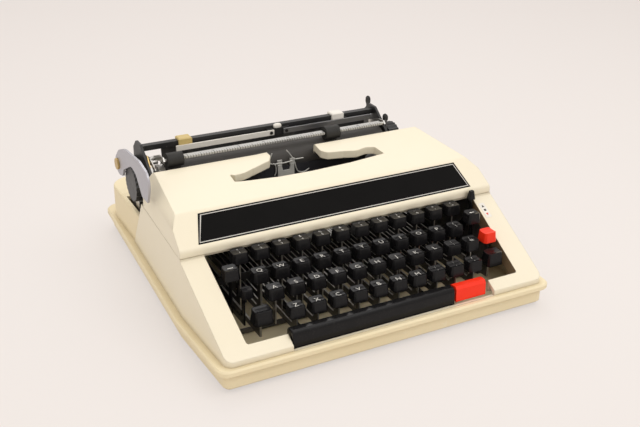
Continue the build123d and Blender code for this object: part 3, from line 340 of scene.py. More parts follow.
def nickelPlate():
    # pale plated sheet: the faint clouding of old plating over a brushed grain
    f = Finish("nickelPlate")
    lines = f.noise(5, 4, where=f.stretched((60, 800, 800)))
    colour = f.mix(f.noise(70, 4), (0.50, 0.50, 0.47), (0.68, 0.68, 0.65))
    return f.set(colour=colour, rough=0.30 + lines * 0.2, metal=0.3, normal=f.rounded(0.0002, lines, 0.00002))


def greyEnamel():
    # dull grey paint on pressed steel, dusty in places
    f = Finish("greyEnamel")
    colour = f.mix(f.noise(50), (0.050, 0.049, 0.048), (0.075, 0.073, 0.070))
    dust = f.noise(25, 5).over(0.58) * 0.3
    colour = f.mix(dust, colour, (0.17, 0.155, 0.13))
    rough = 0.42 + f.noise(80, 4) * 0.2
    return f.set(colour=colour, rough=rough, normal=f.rounded(0.0003, f.noise(900, 2), 0.00002))


def darkEnamel():
    f = Finish("darkEnamel")
    colour = f.mix(f.noise(50), (0.010, 0.010, 0.011), (0.020, 0.019, 0.019))
    worn = f.noise(60, 7).over(0.70)
    colour = f.mix(worn * 0.5, colour, (0.22, 0.21, 0.20))
    rough = 0.34 + f.noise(80, 4) * 0.22
    relief = f.rounded(0.0003, f.noise(900, 2), 0.00002)
    return f.set(colour=colour, rough=rough, metal=worn * 0.6, normal=relief)


def hardRubber():
    f = Finish("hardRubber")
    around = f.noise(6, 5, where=f.stretched((20, 400, 400)))
    colour = f.mix(around, (0.050, 0.047, 0.044), (0.085, 0.080, 0.075))
    rough = 0.46 + f.noise(70, 4) * 0.2
    relief = f.rounded(0.0004, f.noise(1200, 2), 0.00003)
    return f.set(colour=colour, rough=rough, normal=relief, specular=0.35)


def softRubber():
    f = Finish("softRubber")
    colour = f.mix(f.noise(150, 4), (0.018, 0.018, 0.017), (0.034, 0.033, 0.031))
    rough = 0.5 + f.noise(90, 4) * 0.2
    relief = f.rounded(0.0006, f.noise(1300, 2), 0.00003)
    return f.set(colour=colour, rough=rough, normal=relief, specular=0.3)


def knobPlastic():
    f = Finish("knobPlastic")
    colour = f.mix(f.noise(120), (0.008, 0.008, 0.009), (0.016, 0.016, 0.017))
    rough = 0.28 + f.noise(200, 4) * 0.18
    relief = f.rounded(0.0003, f.noise(1500, 2), 0.00002)
    return f.set(colour=colour, rough=rough, normal=relief, specular=0.4)


def turnedBrass():
    f = Finish("turnedBrass")
    colour = f.mix(f.noise(90, 5), (0.46, 0.32, 0.12), (0.70, 0.52, 0.24))
    rough = 0.26 + f.noise(200, 4) * 0.2
    return f.set(colour=colour, rough=rough, metal=1.0, normal=f.rounded(0.0003, f.noise(800), 0.00002))


def silverPaint():
    # metallic lilac-grey paint on pressed steel
    f = Finish("silverPaint")
    colour = f.mix(f.noise(30, 4), (0.42, 0.42, 0.46), (0.52, 0.52, 0.56))
    flake = f.noise(2500, 2) * 0.25
    rough = 0.32 + flake
    return f.set(colour=colour, rough=rough, metal=0.55, normal=f.rounded(0.0004, f.noise(1500, 2), 0.00002))


def offWhitePlastic():
    f = Finish("offWhitePlastic")
    colour = f.mix(f.noise(60), (0.78, 0.75, 0.68), (0.84, 0.82, 0.76))
    return f.set(colour=colour, rough=0.38 + f.noise(150) * 0.14, normal=f.rounded(0.0004))


def yellowedPlastic():
    f = Finish("yellowedPlastic")
    colour = f.mix(f.noise(90), (0.52, 0.38, 0.12), (0.66, 0.52, 0.22))
    return f.set(colour=colour, rough=0.36 + f.noise(150) * 0.16, normal=f.rounded(0.0004))


def lightAlloy():
    f = Finish("lightAlloy")
    lines = f.noise(5, 5, where=f.stretched((30, 700, 700)))
    colour = f.mix(lines, (0.30, 0.30, 0.31), (0.46, 0.46, 0.47))
    return f.set(colour=colour, rough=0.32 + lines * 0.2, metal=1.0, normal=f.rounded(0.0002, lines, 0.00002))


def inkedCloth():
    # ribbon: fine crossed threads in the relief, inked black
    f = Finish("inkedCloth")
    threads = (f.axis(0) * 9000).wave() * (f.axis(2) * 9000).wave()
    colour = f.mix(f.noise(200), (0.010, 0.010, 0.013), (0.025, 0.025, 0.032))
    rough = 0.72 + f.noise(300) * 0.12
    return f.set(colour=colour, rough=rough, normal=f.rounded(0.0001, threads, 0.00003))


def whiteInk():
    # stamped white ink, a little uneven
    f = Finish("whiteInk")
    colour = f.mix(f.noise(700, 3), (0.62, 0.61, 0.57), (0.86, 0.85, 0.80))
    return f.set(colour=colour, rough=0.42 + f.noise(500) * 0.16, normal=f.rounded(0.00005), specular=0.3)


def blackInk():
    f = Finish("blackInk")
    colour = f.mix(f.noise(300), (0.012, 0.012, 0.012), (0.03, 0.028, 0.026))
    return f.set(colour=colour, rough=0.4 + f.noise(200) * 0.15, normal=f.rounded(0.00005), specular=0.3)


def redInk():
    f = Finish("redInk")
    colour = f.mix(f.noise(300), (0.60, 0.03, 0.015), (0.75, 0.06, 0.03))
    return f.set(colour=colour, rough=0.4 + f.noise(200) * 0.15, normal=f.rounded(0.00005), specular=0.3)


def stripeTrim():
    # dull silver line of the stripe's border
    f = Finish("stripeTrim")
    colour = f.mix(f.noise(90, 4), (0.46, 0.45, 0.42), (0.64, 0.63, 0.59))
    return f.set(colour=colour, rough=0.38 + f.noise(200) * 0.2, metal=0.25, normal=f.rounded(0.00008))


# ruler on the bail: letter space, reach of its short and long ticks behind the front edge, the share of one
# space or of five that a tick fills, and a count of spaces that keeps the pattern above zero
scale = {"space": 0.00254, "short": 0.0022, "long": 0.0036, "tick": 0.24, "fifth": 0.06, "start": 200.0}


def scaleAlloy():
    # brushed pale alloy with a printed tick at each letter space and a longer one at each fifth
    f = Finish("scaleAlloy")
    lines = f.noise(5, 4, where=f.stretched((40, 900, 900)))
    colour = f.mix(lines, (0.40, 0.40, 0.385), (0.54, 0.54, 0.52))
    along = f.axis(0) / scale["space"] + scale["start"]
    inward = f.axis(1) - (bailPlace[0] - bailPlate["front"])
    ticks = along.fraction().under(scale["tick"]) * inward.under(scale["short"])
    fifths = (along / 5.0).fraction().under(scale["fifth"]) * inward.under(scale["long"])
    colour = f.mix((ticks + fifths).clamped() * 0.85, colour, (0.03, 0.03, 0.03))
    relief = f.rounded(0.0001, lines, 0.00001)
    return f.set(colour=colour, rough=0.34 + lines * 0.2, metal=0.35, normal=relief)


finishOf = {
    "base_tray": basePlastic, "housing": casePlastic, "top_cover": casePlastic, "stripe_panel": stripeLacquer,
    "base_feet": softRubber, "space_bar": keyPlastic, "repeat_bar": redPlastic, "tab_key": redPlastic,
    "margin_release_key": keyPlastic, "backspace_key": keyPlastic, "shift_keys": keyPlastic,
    "shift_lock": keyPlastic, "shift_frame": leverSteel, "chassis": greyEnamel, "fulcrum_rod": brightSteel,
    "key_comb": darkEnamel, "carriage_rail": brightSteel, "type_segment": brightSteel,
    "type_bars": brightSteel, "type_guide": nickelPlate, "ribbon_plates": darkEnamel,
    "ribbon_spool_left": lightAlloy,
    "ribbon_spool_right": lightAlloy, "ribbon": inkedCloth, "platen": hardRubber, "platen_shaft": brightSteel,
    "platen_knob_left": knobPlastic, "platen_knob_right": knobPlastic, "line_ratchet": brightSteel,
    "line_spacer": brightSteel, "carriage_end_left": darkEnamel, "carriage_end_right": darkEnamel,
    "carriage_frame": darkEnamel, "paper_table": greyEnamel, "support_clip": darkEnamel,
    "feed_rollers": softRubber, "margin_rail": darkEnamel, "margin_stop_left": yellowedPlastic,
    "margin_stop_right": offWhitePlastic, "paper_bail": brightSteel, "bail_roller_left": softRubber,
    "bail_roller_right": softRubber, "return_lever": silverPaint, "lever_screw": turnedBrass,
    "paper_release_lever": darkEnamel, "carriage_release_lever": greyEnamel,
    "paper_support_left": offWhitePlastic, "paper_support_right": lightAlloy, "escape_wheel": turnedBrass,
    "mainspring_drum": brightSteel, "bell": turnedBrass, "colour_selector": keyPlastic,
}
for rowName in ("number", "upper", "home", "lower"):
    finishOf[rowName + "_row_caps"] = keyPlastic
    finishOf[rowName + "_row_levers"] = leverSteel

builtFinishes = {}


def finished(recipe):
    # each recipe is built once and shared
    if recipe not in builtFinishes:
        builtFinishes[recipe] = recipe()
    return builtFinishes[recipe]


def dressNodes():
    for name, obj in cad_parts.items():
        obj.data.materials.clear()
        obj.data.materials.append(finished(finishOf[name]))


dressNodes()
print("nodes dressed in", len(builtFinishes), "finishes")


def makePiece(name, points, faces, finish, body, slot, crease=40):
    # puts arrays of points and faces into a mesh, joins its seams and turns its faces outwards
    mesh = bpy.data.meshes.new(name)
    mesh.from_pydata(np.asarray(points, float).tolist(), [], faces)
    work = bmesh.new()
    work.from_mesh(mesh)
    bmesh.ops.remove_doubles(work, verts=work.verts, dist=weld)
    bmesh.ops.recalc_face_normals(work, faces=work.faces)
    work.to_mesh(mesh)
    work.free()
    mesh.shade_smooth()
    mesh.set_sharp_from_angle(angle=math.radians(crease))
    mesh.materials.append(finished(finish))
    piece = bpy.data.objects.new(name, mesh)
    bpy.context.scene.collection.objects.link(piece)
    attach(piece, body)
    return piece


def lofted(rings, loop=False):
    # rings[i, j] is point j of ring i: four-sided faces between each ring and the next, and a lid on each end
    count, sides = rings.shape[:2]
    start = np.arange(count if loop else count - 1)[:, None] * sides
    here = np.arange(sides)
    after = (here + 1) % sides
    ahead = (start + sides) % (count * sides)
    faces = np.stack([start + here, start + after, ahead + after, ahead + here], -1).reshape(-1, 4).tolist()
    if not loop:
        faces += [list(range(sides)), list(range((count - 1) * sides, count * sides))]
    return rings.reshape(-1, 3), faces


def joined(shapes):
    # one set of points and faces from several
    points, faces, count = [], [], 0
    for corner, face in shapes:
        points.append(np.asarray(corner, float))
        faces += [[index + count for index in f] for f in face]
        count += len(corner)
    return np.concatenate(points), faces


def plate(outline, low, high, axis=0):
    # flat outline in the two other axes, given thickness along one axis from low to high
    flat = np.asarray(outline, float)
    rings = np.stack([np.insert(flat, axis, level, axis=1) for level in (low, high)])
    return lofted(rings)


def rounded(corners, radius, steps=5):
    # outline whose corner p becomes the curve (1-t)^2 a + 2t(1-t) p + t^2 b, with a and b a radius away
    p = np.asarray(corners, float)
    before = np.roll(p, 1, 0) - p
    after = np.roll(p, -1, 0) - p
    reach = np.broadcast_to(np.asarray(radius, float), len(p))[:, None]
    a = p + before / np.linalg.norm(before, axis=1, keepdims=True) * reach
    b = p + after / np.linalg.norm(after, axis=1, keepdims=True) * reach
    t = np.linspace(0, 1, steps)[:, None, None]
    curve = (1 - t) ** 2 * a + 2 * t * (1 - t) * p + t**2 * b
    return curve.transpose(1, 0, 2).reshape(-1, p.shape[1])


def smoothPath(points, steps=8):
    # curve through the points: each span is the cubic with slopes of half the way between its neighbours
    p = np.asarray(points, float)
    ends = np.concatenate([[2 * p[0] - p[1]], p, [2 * p[-1] - p[-2]]])
    t = np.linspace(0, 1, steps, endpoint=False)[:, None]
    spans = []
    for i in range(len(p) - 1):
        a, b, c, d = ends[i:i + 4]
        spans.append(b + 0.5 * t * (c - a + t * (2 * a - 5 * b + 4 * c - d + t * (3 * (b - c) + d - a))))
    return np.concatenate(spans + [p[-1:]])


def wire(points, radius, level=(0, 1, 0), sides=10, blunt=0.45):
    # round wire: path + radius (cos(turn) across + sin(turn) up), with the radius times blunt at the two ends
    path = smoothPath(points)
    along = np.gradient(path, axis=0)
    along /= np.linalg.norm(along, axis=1, keepdims=True)
    across = np.cross(along, level)
    across /= np.linalg.norm(across, axis=1, keepdims=True)
    up = np.cross(across, along)
    turn = np.linspace(0, 2 * np.pi, sides, endpoint=False)
    size = np.ones(len(path))
    size[[0, -1]] = blunt
    ring = np.cos(turn)[:, None] * across[:, None] + np.sin(turn)[:, None] * up[:, None]
    return lofted(path[:, None] + radius * size[:, None, None] * ring)


def pebble(centre, half, power=3.0, bulge=2.4, sides=28, layers=13):
    # rounded block: x and y follow a superellipse of the power and shrink with height h by the factor
    # (1 - |h|^bulge)^(1/bulge)
    turn = np.linspace(0, 2 * np.pi, sides, endpoint=False)
    c, s = np.cos(turn), np.sin(turn)
    flat = np.stack([np.sign(c) * np.abs(c) ** (2 / power), np.sign(s) * np.abs(s) ** (2 / power)], -1)
    h = np.sin(np.linspace(-0.5, 0.5, layers) * np.pi * 0.985)
    size = (1 - np.abs(h) ** bulge) ** (1 / bulge)
    rings = np.zeros((layers, sides, 3))
    rings[..., :2] = flat * size[:, None, None]
    rings[..., 2] = h[:, None]
    return lofted(np.asarray(centre) + rings * np.asarray(half))


def reshaped(node, name, body, slot, move, cuts=()):
    # copy of a CAD piece: flat faces merged, cut across at the given x, and its points moved by a function
    work = bmesh.new()
    work.from_mesh(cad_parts[node].data)
    bmesh.ops.remove_doubles(work, verts=work.verts, dist=weld)
    bmesh.ops.dissolve_limit(work, angle_limit=flatAngle, verts=work.verts, edges=work.edges)
    for x in cuts:
        everything = work.verts[:] + work.edges[:] + work.faces[:]
        bmesh.ops.bisect_plane(work, geom=everything, dist=weld, plane_co=(x * mm, 0, 0), plane_no=(1, 0, 0))
    mesh = bpy.data.meshes.new(name)
    work.to_mesh(mesh)
    work.free()
    points = np.zeros(len(mesh.vertices) * 3)
    mesh.vertices.foreach_get("co", points)
    corners = np.zeros(len(mesh.loops), int)
    mesh.loops.foreach_get("vertex_index", corners)
    starts = np.zeros(len(mesh.polygons), int)
    mesh.polygons.foreach_get("loop_start", starts)
    faces = [face.tolist() for face in np.split(corners, starts[1:])]
    piece = makePiece(name, move(points.reshape(-1, 3)), faces, finishOf[node], body, slot)
    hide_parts(node)


# stripe panel: its plane leans back with the cover's face, a border line is set in from its edge, and its
# ends slant; a point within near of an end and deep of the plane belongs to that end
stripe = {
    "start": placed(88.2, 77.5), "rise": 19 / 30.5, "low": 0.0036, "top": 0.0326, "halfLow": 0.131,
    "halfTop": 0.130, "inset": 0.0014, "line": 0.00075, "proud": 0.00006,
    "slant": {-1: (-0.0042, 0.0042), 1: (0.0014, -0.0009)}, "near": 0.0016, "deep": 0.004,
    "spare": 0.001,
}


def slantStripe(points):
    # at each end of the panel x moves by an amount that goes evenly from the slant's low to its top value
    s = stripe
    lean = math.atan(s["rise"])
    y, z = points[:, 1] - s["start"][0], points[:, 2] - s["start"][1]
    climb = y * math.cos(lean) + z * math.sin(lean)
    off = z * math.cos(lean) - y * math.sin(lean)
    share = np.clip((climb - s["low"]) / (s["top"] - s["low"]), 0, 1)
    edge = np.abs(np.abs(points[:, 0]) - (s["halfLow"] + s["halfTop"]) / 2) < s["near"]
    on = edge & (np.abs(off) < s["deep"]) & (climb > s["low"] - s["spare"]) & (climb < s["top"] + s["spare"])
    result = points.copy()
    for side, (low, top) in s["slant"].items():
        mine = on & (np.sign(points[:, 0]) == side)
        result[mine, 0] += low + (top - low) * share[mine]
    return result


# the window's outline on the plain cover and where it belongs: (x, y) pairs in mm, from the left tongue's
# back corner round the left slot, along the near edge and back round the right slot
windowOutline = [
    ((-28.5, 36.5), (-27.5, 36.5)), ((-26, 20), (-26.6, 27)), ((-31, 9.5), (-31.5, 18.6)),
    ((-52, -5.4), (-52.5, 9.3)), ((-60, -5.2), (-62, 5)), ((-70.5, 2), (-71.9, 3.8)),
    ((-77.5, 0), (-75.8, 6.5)), ((-80.5, -10.5), (-77, -7.5)), ((-63, -10.5), (-63, -9.8)),
    ((-37, -10.5), (-37, -12.7)), ((-4, -10.5), (-4, -13.4)), ((37, -10.5), (37, -11.4)),
    ((72.5, -10.5), (75.6, -6.5)), ((69.5, 0), (74.3, 8.5)), ((62.5, 2), (66, 11)), ((52, -5.2), (54, 8)),
    ((44, -5.4), (42, 11.3)), ((23, 9.5), (26.5, 14.2)), ((18, 20), (21.8, 19.5)), ((20.5, 36.5), (23.5, 36.5)),
]
windowReach = {"near": 0.0036, "above": 0.093, "topSlope": 0.0872}
coverCuts = [-70, -63, -50, -37, -20, -4, 16, 37, 55, 66]


def moveWindow(points):
    # a point near the outline moves as the nearest place on the outline does, sliding along the top's slope
    plain, wanted = (np.array([pair[k] for pair in windowOutline]) * mm for k in (0, 1))
    start, span = plain[:-1], np.diff(plain, axis=0)
    shift = wanted - plain
    offset = points[:, None, :2] - start
    share = np.clip((offset * span).sum(-1) / (span**2).sum(-1), 0, 1)
    gap = np.linalg.norm(offset - share[..., None] * span, axis=-1)
    nearest = gap.argmin(1)
    row = np.arange(len(points))
    part = share[row, nearest][:, None]
    moved = shift[nearest] * (1 - part) + shift[nearest + 1] * part
    touched = (gap[row, nearest] < windowReach["near"]) & (points[:, 2] > windowReach["above"])
    moved = moved * touched[:, None]
    result = points.copy()
    result[:, :2] += moved
    result[:, 2] += moved[:, 1] * windowReach["topSlope"]
    return slantStripe(result)


reshaped("top_cover", "coverShaped", "cover", "case_plastic", moveWindow, coverCuts)
reshaped("stripe_panel", "stripeShaped", "cover", "stripe", slantStripe)

# space bar's notch in the housing, in mm: its sill comes down to the tray's flange, its left side to the bar
notch = {"half": 98.1, "front": -156.0, "sill": (25.4, 25.8), "drop": 2.6, "left": -98.0, "inner": -140.0,
         "shift": 3.8, "near": 0.1}


def moveNotch(points):
    # points of the sill go down by the drop, and those on the left side go across by the shift
    result = points.copy()
    x, y, z = (points[:, k] / mm for k in range(3))
    low, high = notch["sill"]
    sill = (np.abs(x) < notch["half"]) & (y < notch["front"]) & (z > low) & (z < high)
    side = (np.abs(x - notch["left"]) < notch["near"]) & (y < notch["inner"])
    result[sill, 2] -= notch["drop"] * mm
    result[side, 0] += notch["shift"] * mm
    return result


reshaped("housing", "housingShaped", "frame", "case_plastic", moveNotch)

# ribbon selector's cap, in mm: shorter, drawn in towards its top and nearer the keys
selectorCap = {"base": 74.0, "height": 13.0, "short": 0.62, "centre": (130.0, -76.6), "narrow": 0.28,
               "shift": -2.0, "near": 0.01}


def moveSelector(points):
    # height above the cap's base is multiplied by short, and width shrinks evenly by narrow towards the top
    cap = selectorCap
    result = points.copy()
    up = points[:, 2] / mm - cap["base"]
    on = up > -cap["near"]
    share = np.clip(up / cap["height"], 0, 1)[on, None]
    middle = np.array(cap["centre"]) * mm
    result[on, :2] = middle + (points[on, :2] - middle) * (1 - cap["narrow"] * share)
    result[on, 0] += cap["shift"] * mm
    result[on, 2] = (cap["base"] + up[on] * cap["short"]) * mm
    return result


reshaped("colour_selector", "selectorShaped", "colour_lever", "key_plastic", moveSelector)
print("cover, stripe, housing and selector reshaped")


def stripeBorder(s):
    # four corners, each a small rectangle across the line, joined in a loop
    lean = math.atan(s["rise"])

    def corner(side, upper, inset):
        half = (s["halfTop"] if upper else s["halfLow"]) - inset
        climb = s["top"] - inset if upper else s["low"] + inset
        return side * half + s["slant"][side][1 if upper else 0], climb

    line, proud = s["line"], s["proud"]
    rings = []
    for side, upper in ((-1, False), (1, False), (1, True), (-1, True)):
        ring = []
        for inset, lift in ((0, -proud), (0, proud), (line, proud), (line, -proud)):
            x, climb = corner(side, upper, s["inset"] + inset)
            y = s["start"][0] + climb * math.cos(lean) - lift * math.sin(lean)
            z = s["start"][1] + climb * math.sin(lean) + lift * math.cos(lean)
            ring.append((x, y, z))
        rings.append(ring)
    points, faces = lofted(np.array(rings), loop=True)
    makePiece("stripeBorder", points, faces, stripeTrim, "cover", "silver_paint")


stripeBorder(stripe)

# legends: each row's first key, depth, height and signs; a pair is drawn one above the other
keyRows = {
    "number": {"first": -105.0, "depth": 81, "height": 72,
               "signs": "1! 2\" 3# 4$ 5% 6& 7' 8( 9) 0_ -+ =*".split()},
    "upper": {"first": -95.475, "depth": 61, "height": 62, "signs": "Q W E R T Y U I O P [?".split()},
    "home": {"first": -90.7125, "depth": 43, "height": 55, "signs": "A S D F G H J K L ;: @/".split()},
    "lower": {"first": -81.1875, "depth": 24, "height": 46, "signs": "Z X C V B N M ,; .: -?".split()},
}
legend = {"pitch": 19.05, "single": 0.0068, "pair": 0.0042, "shift": 0.0023, "thick": 0.00009, "thin": 0.014}
dish = {"sink": 0.0006, "flat": 0.0024, "slope": 0.1875}


def signShape(sign, size):
    # one sign as a thin solid, centred on the origin
    curve = bpy.data.curves.new("sign", "FONT")
    curve.body = sign
    curve.size = size
    curve.align_x = "CENTER"
    curve.resolution_u = 3
    curve.offset = -legend["thin"] * size
    curve.extrude = legend["thick"] / 2
    text = bpy.data.objects.new("sign", curve)
    mesh = bpy.data.meshes.new_from_object(text)
    mesh.calc_loop_triangles()
    points = np.zeros(len(mesh.vertices) * 3)
    mesh.vertices.foreach_get("co", points)
    faces = np.zeros(len(mesh.loop_triangles) * 3, int)
    mesh.loop_triangles.foreach_get("vertices", faces)
    points = points.reshape(-1, 3)
    points[:, 1] -= (points[:, 1].max() + points[:, 1].min()) / 2
    bpy.data.objects.remove(text)
    return points, faces.reshape(-1, 3)


def onCap(points, x, depth, height, back=0.0):
    # laid on the dished cap: height falls by the dish's sink and rises again beyond its flat middle
    y, z = placed(depth, height)
    laid = points + (x * mm, 0, 0)
    laid[:, 1] += back
    rise = np.maximum(0, np.abs(laid[:, 1]) - dish["flat"]) * dish["slope"] - dish["sink"]
    laid[:, 2] += z + rise + legend["thick"] / 2
    laid[:, 1] += y
    return laid


def rowLegends(row, spec):
    # the signs of a row's caps, all in one piece
    pair, shift = legend["pair"], legend["shift"]
    shapes = []
    for i, signs in enumerate(spec["signs"]):
        x = spec["first"] + i * legend["pitch"]
        lines = [(signs, legend["single"], 0.0)]
        if len(signs) == 2:
            lines = [(signs[0], pair, -shift), (signs[1], pair, shift)]
        for sign, size, back in lines:
            points, faces = signShape(sign, size)
            shapes.append((onCap(points, x, spec["depth"], spec["height"], back), faces.tolist()))
    points, faces = joined(shapes)
    makePiece(row + "RowLegends", points, faces, whiteInk, row + "_row", "white_plastic")


for row, spec in keyRows.items():
    rowLegends(row, spec)

# bars and arrows on the keys beside the rows, as outlines round the cap's centre
sideSigns = {
    "marginReleaseSign": {"x": -118.8, "depth": 66, "height": 67, "body": "margin_release",
                          "outline": [(-2.4, -0.35), (2.4, -0.35), (2.4, 0.35), (-2.4, 0.35)]},
    "backspaceSign": {"x": 115.0, "depth": 63.5, "height": 69, "body": "backspace",
                      "outline": [(-2.6, 0), (-0.9, -1.2), (-0.9, -0.35), (2.4, -0.35), (2.4, 0.35),
                                  (-0.9, 0.35), (-0.9, 1.2)]},
}
for name, spec in sideSigns.items():
    points, faces = plate(np.array(spec["outline"]) * mm, -legend["thick"] / 2, legend["thick"] / 2, axis=2)
    points = onCap(points, spec["x"], spec["depth"], spec["height"])
    makePiece(name, points, faces, whiteInk, spec["body"], "white_plastic")
print("stripe border and legends made")

# space bar, in mm: deeper and softer than its plain solid, with its two arms under the keys; each end is drawn
# in by a quarter round of so many steps, as a share of the section's mean half size
spaceBar = {
    "left": -93.2, "right": 59.0, "end": 0.9,
    "section": [(3.7, 18.2), (4.5, 31.6), (6.6, 34.3), (13.0, 34.1), (15.4, 31.6), (15.2, 22.5), (12.5, 21.5),
                (6.5, 17.2)],
    "radius": [0.8, 1.0, 0.9, 0.9, 1.0, 1.5, 1.5, 1.0], "half": 7.0, "steps": 6,
    "arms": (-74.04, 45.02), "armHalf": 0.75,
    "arm": [(10.8, 26), (10.8, 16.5), (238.6, 17.8), (238.6, 19.95), (232.95, 19.95), (232.95, 24.05),
            (238.6, 24.05), (238.6, 26.2), (108, 23.5), (16.3, 20.5), (13.8, 26)],
}


def sidePlace(pairs):
    # (depth, height) pairs in mm as (y, z) in metres
    flat = np.asarray(pairs, float)
    return np.stack(placed(flat[:, 0], flat[:, 1]), -1)


def makeSpaceBar(s):
    # one rounded section carried along x, drawn in towards its middle over a quarter round at each end
    section = sidePlace(rounded(s["section"], s["radius"]))
    middle = section.mean(0)
    turn = np.linspace(0, np.pi / 2, s["steps"])
    reach = s["end"] * (1 - np.cos(turn))
    draw = s["end"] * (1 - np.sin(turn)) / s["half"]
    xs = np.concatenate([s["left"] + reach, (s["right"] - reach)[::-1]]) * mm
    size = 1 - np.concatenate([draw, draw[::-1]])
    rings = np.zeros((len(xs), len(section), 3))
    rings[..., 0] = xs[:, None]
    rings[..., 1:] = middle + (section - middle) * size[:, None, None]
    shapes = [lofted(rings)]
    half = s["armHalf"]
    shapes += [plate(sidePlace(s["arm"]), (x - half) * mm, (x + half) * mm) for x in s["arms"]]
    points, faces = joined(shapes)
    bar = makePiece("spaceBarFull", points, faces, keyPlastic, "space_bar_body", "key_plastic")
    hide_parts("space_bar")


makeSpaceBar(spaceBar)

# scale strips on the bail's plate, left and right of the right roller, from x to x in mm; each wraps the
# plate's front edge and is numbered at every tenth letter space, with five tens at x = 0
bailScales = {"left": (-104.2, 37.5), "right": (55.5, 101.8)}
scaleStrip = {"proud": 0.0001, "low": 0.0004, "thick": 0.0002}
scaleNumbers = {"every": 10, "atMiddle": 5, "size": 0.0021, "back": 0.0046, "lift": 0.00024}


def bailScale(side, low, high):
    # the strip's section carried along x, and its numbers in one piece
    y, z = bailPlace
    front, back, top = y - bailPlate["front"], y + bailPlate["back"], z + bailPlate["top"]
    nose, roof, foot = front - scaleStrip["proud"], top + scaleStrip["thick"], z + scaleStrip["low"]
    box = [(nose, foot), (nose, roof), (back, roof), (back, top), (front, top), (front, foot)]
    points, faces = plate(box, low * mm, high * mm)
    makePiece(side + "BailScale", points, faces, scaleAlloy, "bail", "aluminium")
    shapes = []
    step = scale["space"] * scaleNumbers["every"]
    first = math.ceil(low * mm / step)
    for k in range(first, math.floor(high * mm / step) + 1):
        number = (k + scaleNumbers["atMiddle"]) * scaleNumbers["every"]
        points, faces = signShape(str(number), scaleNumbers["size"])
        points = points + (k * step, front + scaleNumbers["back"], top + scaleNumbers["lift"])
        shapes.append((points, faces.tolist()))
    points, faces = joined(shapes)
    makePiece(side + "ScaleNumbers", points, faces, blackInk, "bail", "stripe")


for side, (low, high) in bailScales.items():
    bailScale(side, low, high)

# wires at the printing point, in mm: fingers beside the guide, and the hooks below them
guideWires = {
    "leftFinger": [(-20.4, 36.8, 103.5), (-22.0, 36.9, 99.5), (-23.6, 36.6, 95.2), (-20.6, 36.4, 92.4),
                   (-13.4, 36.2, 91.9)],
    "rightFinger": [(-5.6, 36.9, 104.2), (-1.2, 36.9, 98.6), (1.9, 36.6, 94.2), (7.0, 36.4, 93.4),
                    (12.5, 36.4, 93.5)],
    "leftHook": [(-20.8, 33.6, 94.2), (-18.4, 33.6, 91.7), (-17.8, 33.6, 85.2), (-19.4, 33.6, 81.4)],
    "rightHook": [(1.6, 33.6, 92.2), (3.2, 33.6, 86.2), (5.8, 33.6, 81.6), (11.6, 33.6, 80.2),
                  (17.4, 33.6, 82.8)],
    "topWire": [(-14.0, 36.2, 92.2), (-10.0, 36.2, 91.8), (-5.0, 36.2, 92.0), (1.6, 36.4, 92.6)],
}
wireRadius = 0.55
for name, points in guideWires.items():
    shape = wire(np.array(points) * mm, wireRadius * mm)
    makePiece(name, *shape, nickelPlate, "type_basket", "steel", crease=60)

# thin plates, in mm: the ribbon's guide with its U notch, and the line-space parts inside the left end; each is
# an outline in the two other axes that lies between two places along its own
plateCorner = 0.7
frontPlates = {
    "ribbonGuidePlate": {
        "outline": [(-15.4, 76), (1.6, 76), (1.0, 91.0), (-2.4, 91.0), (-3.7, 85.4), (-10.6, 85.4),
                    (-12.0, 91.2), (-16.0, 91.4)],
        "between": (33.3, 34.2), "axis": 1, "finish": nickelPlate, "body": "type_basket", "slot": "steel"},
    "lineSpaceQuadrant": {
        "outline": [(50.5, 103.5), (59, 100.5), (67, 103.5), (65, 111.5), (57, 112.5)],
        "between": (-134.6, -133.6), "axis": 0, "finish": turnedBrass, "body": "carriage", "slot": "brass"},
    "lineSpacePawl": {
        "outline": [(44, 99.5), (57, 104.5), (66, 107), (65, 109.6), (55, 108.6), (44.6, 103.5)],
        "between": (-131.8, -130.8), "axis": 0, "finish": brightSteel, "body": "carriage", "slot": "steel"},
}
for name, spec in frontPlates.items():
    low, high = spec["between"]
    outline = rounded(np.array(spec["outline"]) * mm, plateCorner * mm)
    shape = plate(outline, low * mm, high * mm, axis=spec["axis"])
    makePiece(name, *shape, spec["finish"], spec["body"], spec["slot"])

# tips on the small levers at the right, and the button between the paper supports, in mm
tips = {
    "paperReleaseTip": {"centre": (111.9, 86.6, 121.2), "half": (2.1, 2.9, 4.6), "finish": softRubber,
                        "body": "paper_release", "slot": "knob_plastic"},
    "carriageReleaseTip": {"centre": (111.9, 51.8, 113.6), "half": (2.1, 3.4, 3.9), "finish": softRubber,
                           "body": "carriage_release", "slot": "knob_plastic"},
    "supportButton": {"centre": (0.0, 68.3, 117.0), "half": (4.2, 2.2, 2.6), "finish": offWhitePlastic,
                      "body": "carriage", "slot": "white_plastic"},
}
for name, spec in tips.items():
    shape = pebble(np.array(spec["centre"]) * mm, np.array(spec["half"]) * mm)
    makePiece(name, *shape, spec["finish"], spec["body"], spec["slot"], crease=60)

# small label beside the ribbon selector, in mm: a pale plate with two black marks and a red one on it
label = {"x": 137.1, "depth": 72.6, "half": (3.1, 8.4), "corner": 0.9, "sunk": 0.05, "thick": 0.12,
         "slope": 27.8, "deckFront": (0.5, 24.2), "markCorner": 0.35, "markSunk": 0.02, "markProud": 0.06}
labelMarks = {
    "labelMarkUpper": {"outline": [(-1.3, 3.4), (1.3, 3.4), (0, 6.2)], "finish": blackInk, "slot": "stripe"},
    "labelMarkMiddle": {"outline": [(-1.1, -1.0), (1.1, -1.0), (1.1, 1.2), (-1.1, 1.2)], "finish": blackInk,
                        "slot": "stripe"},
    "labelMarkLower": {"outline": [(-1.3, -3.4), (0, -6.2), (1.3, -3.4)], "finish": redInk,
                       "slot": "red_plastic"},
}


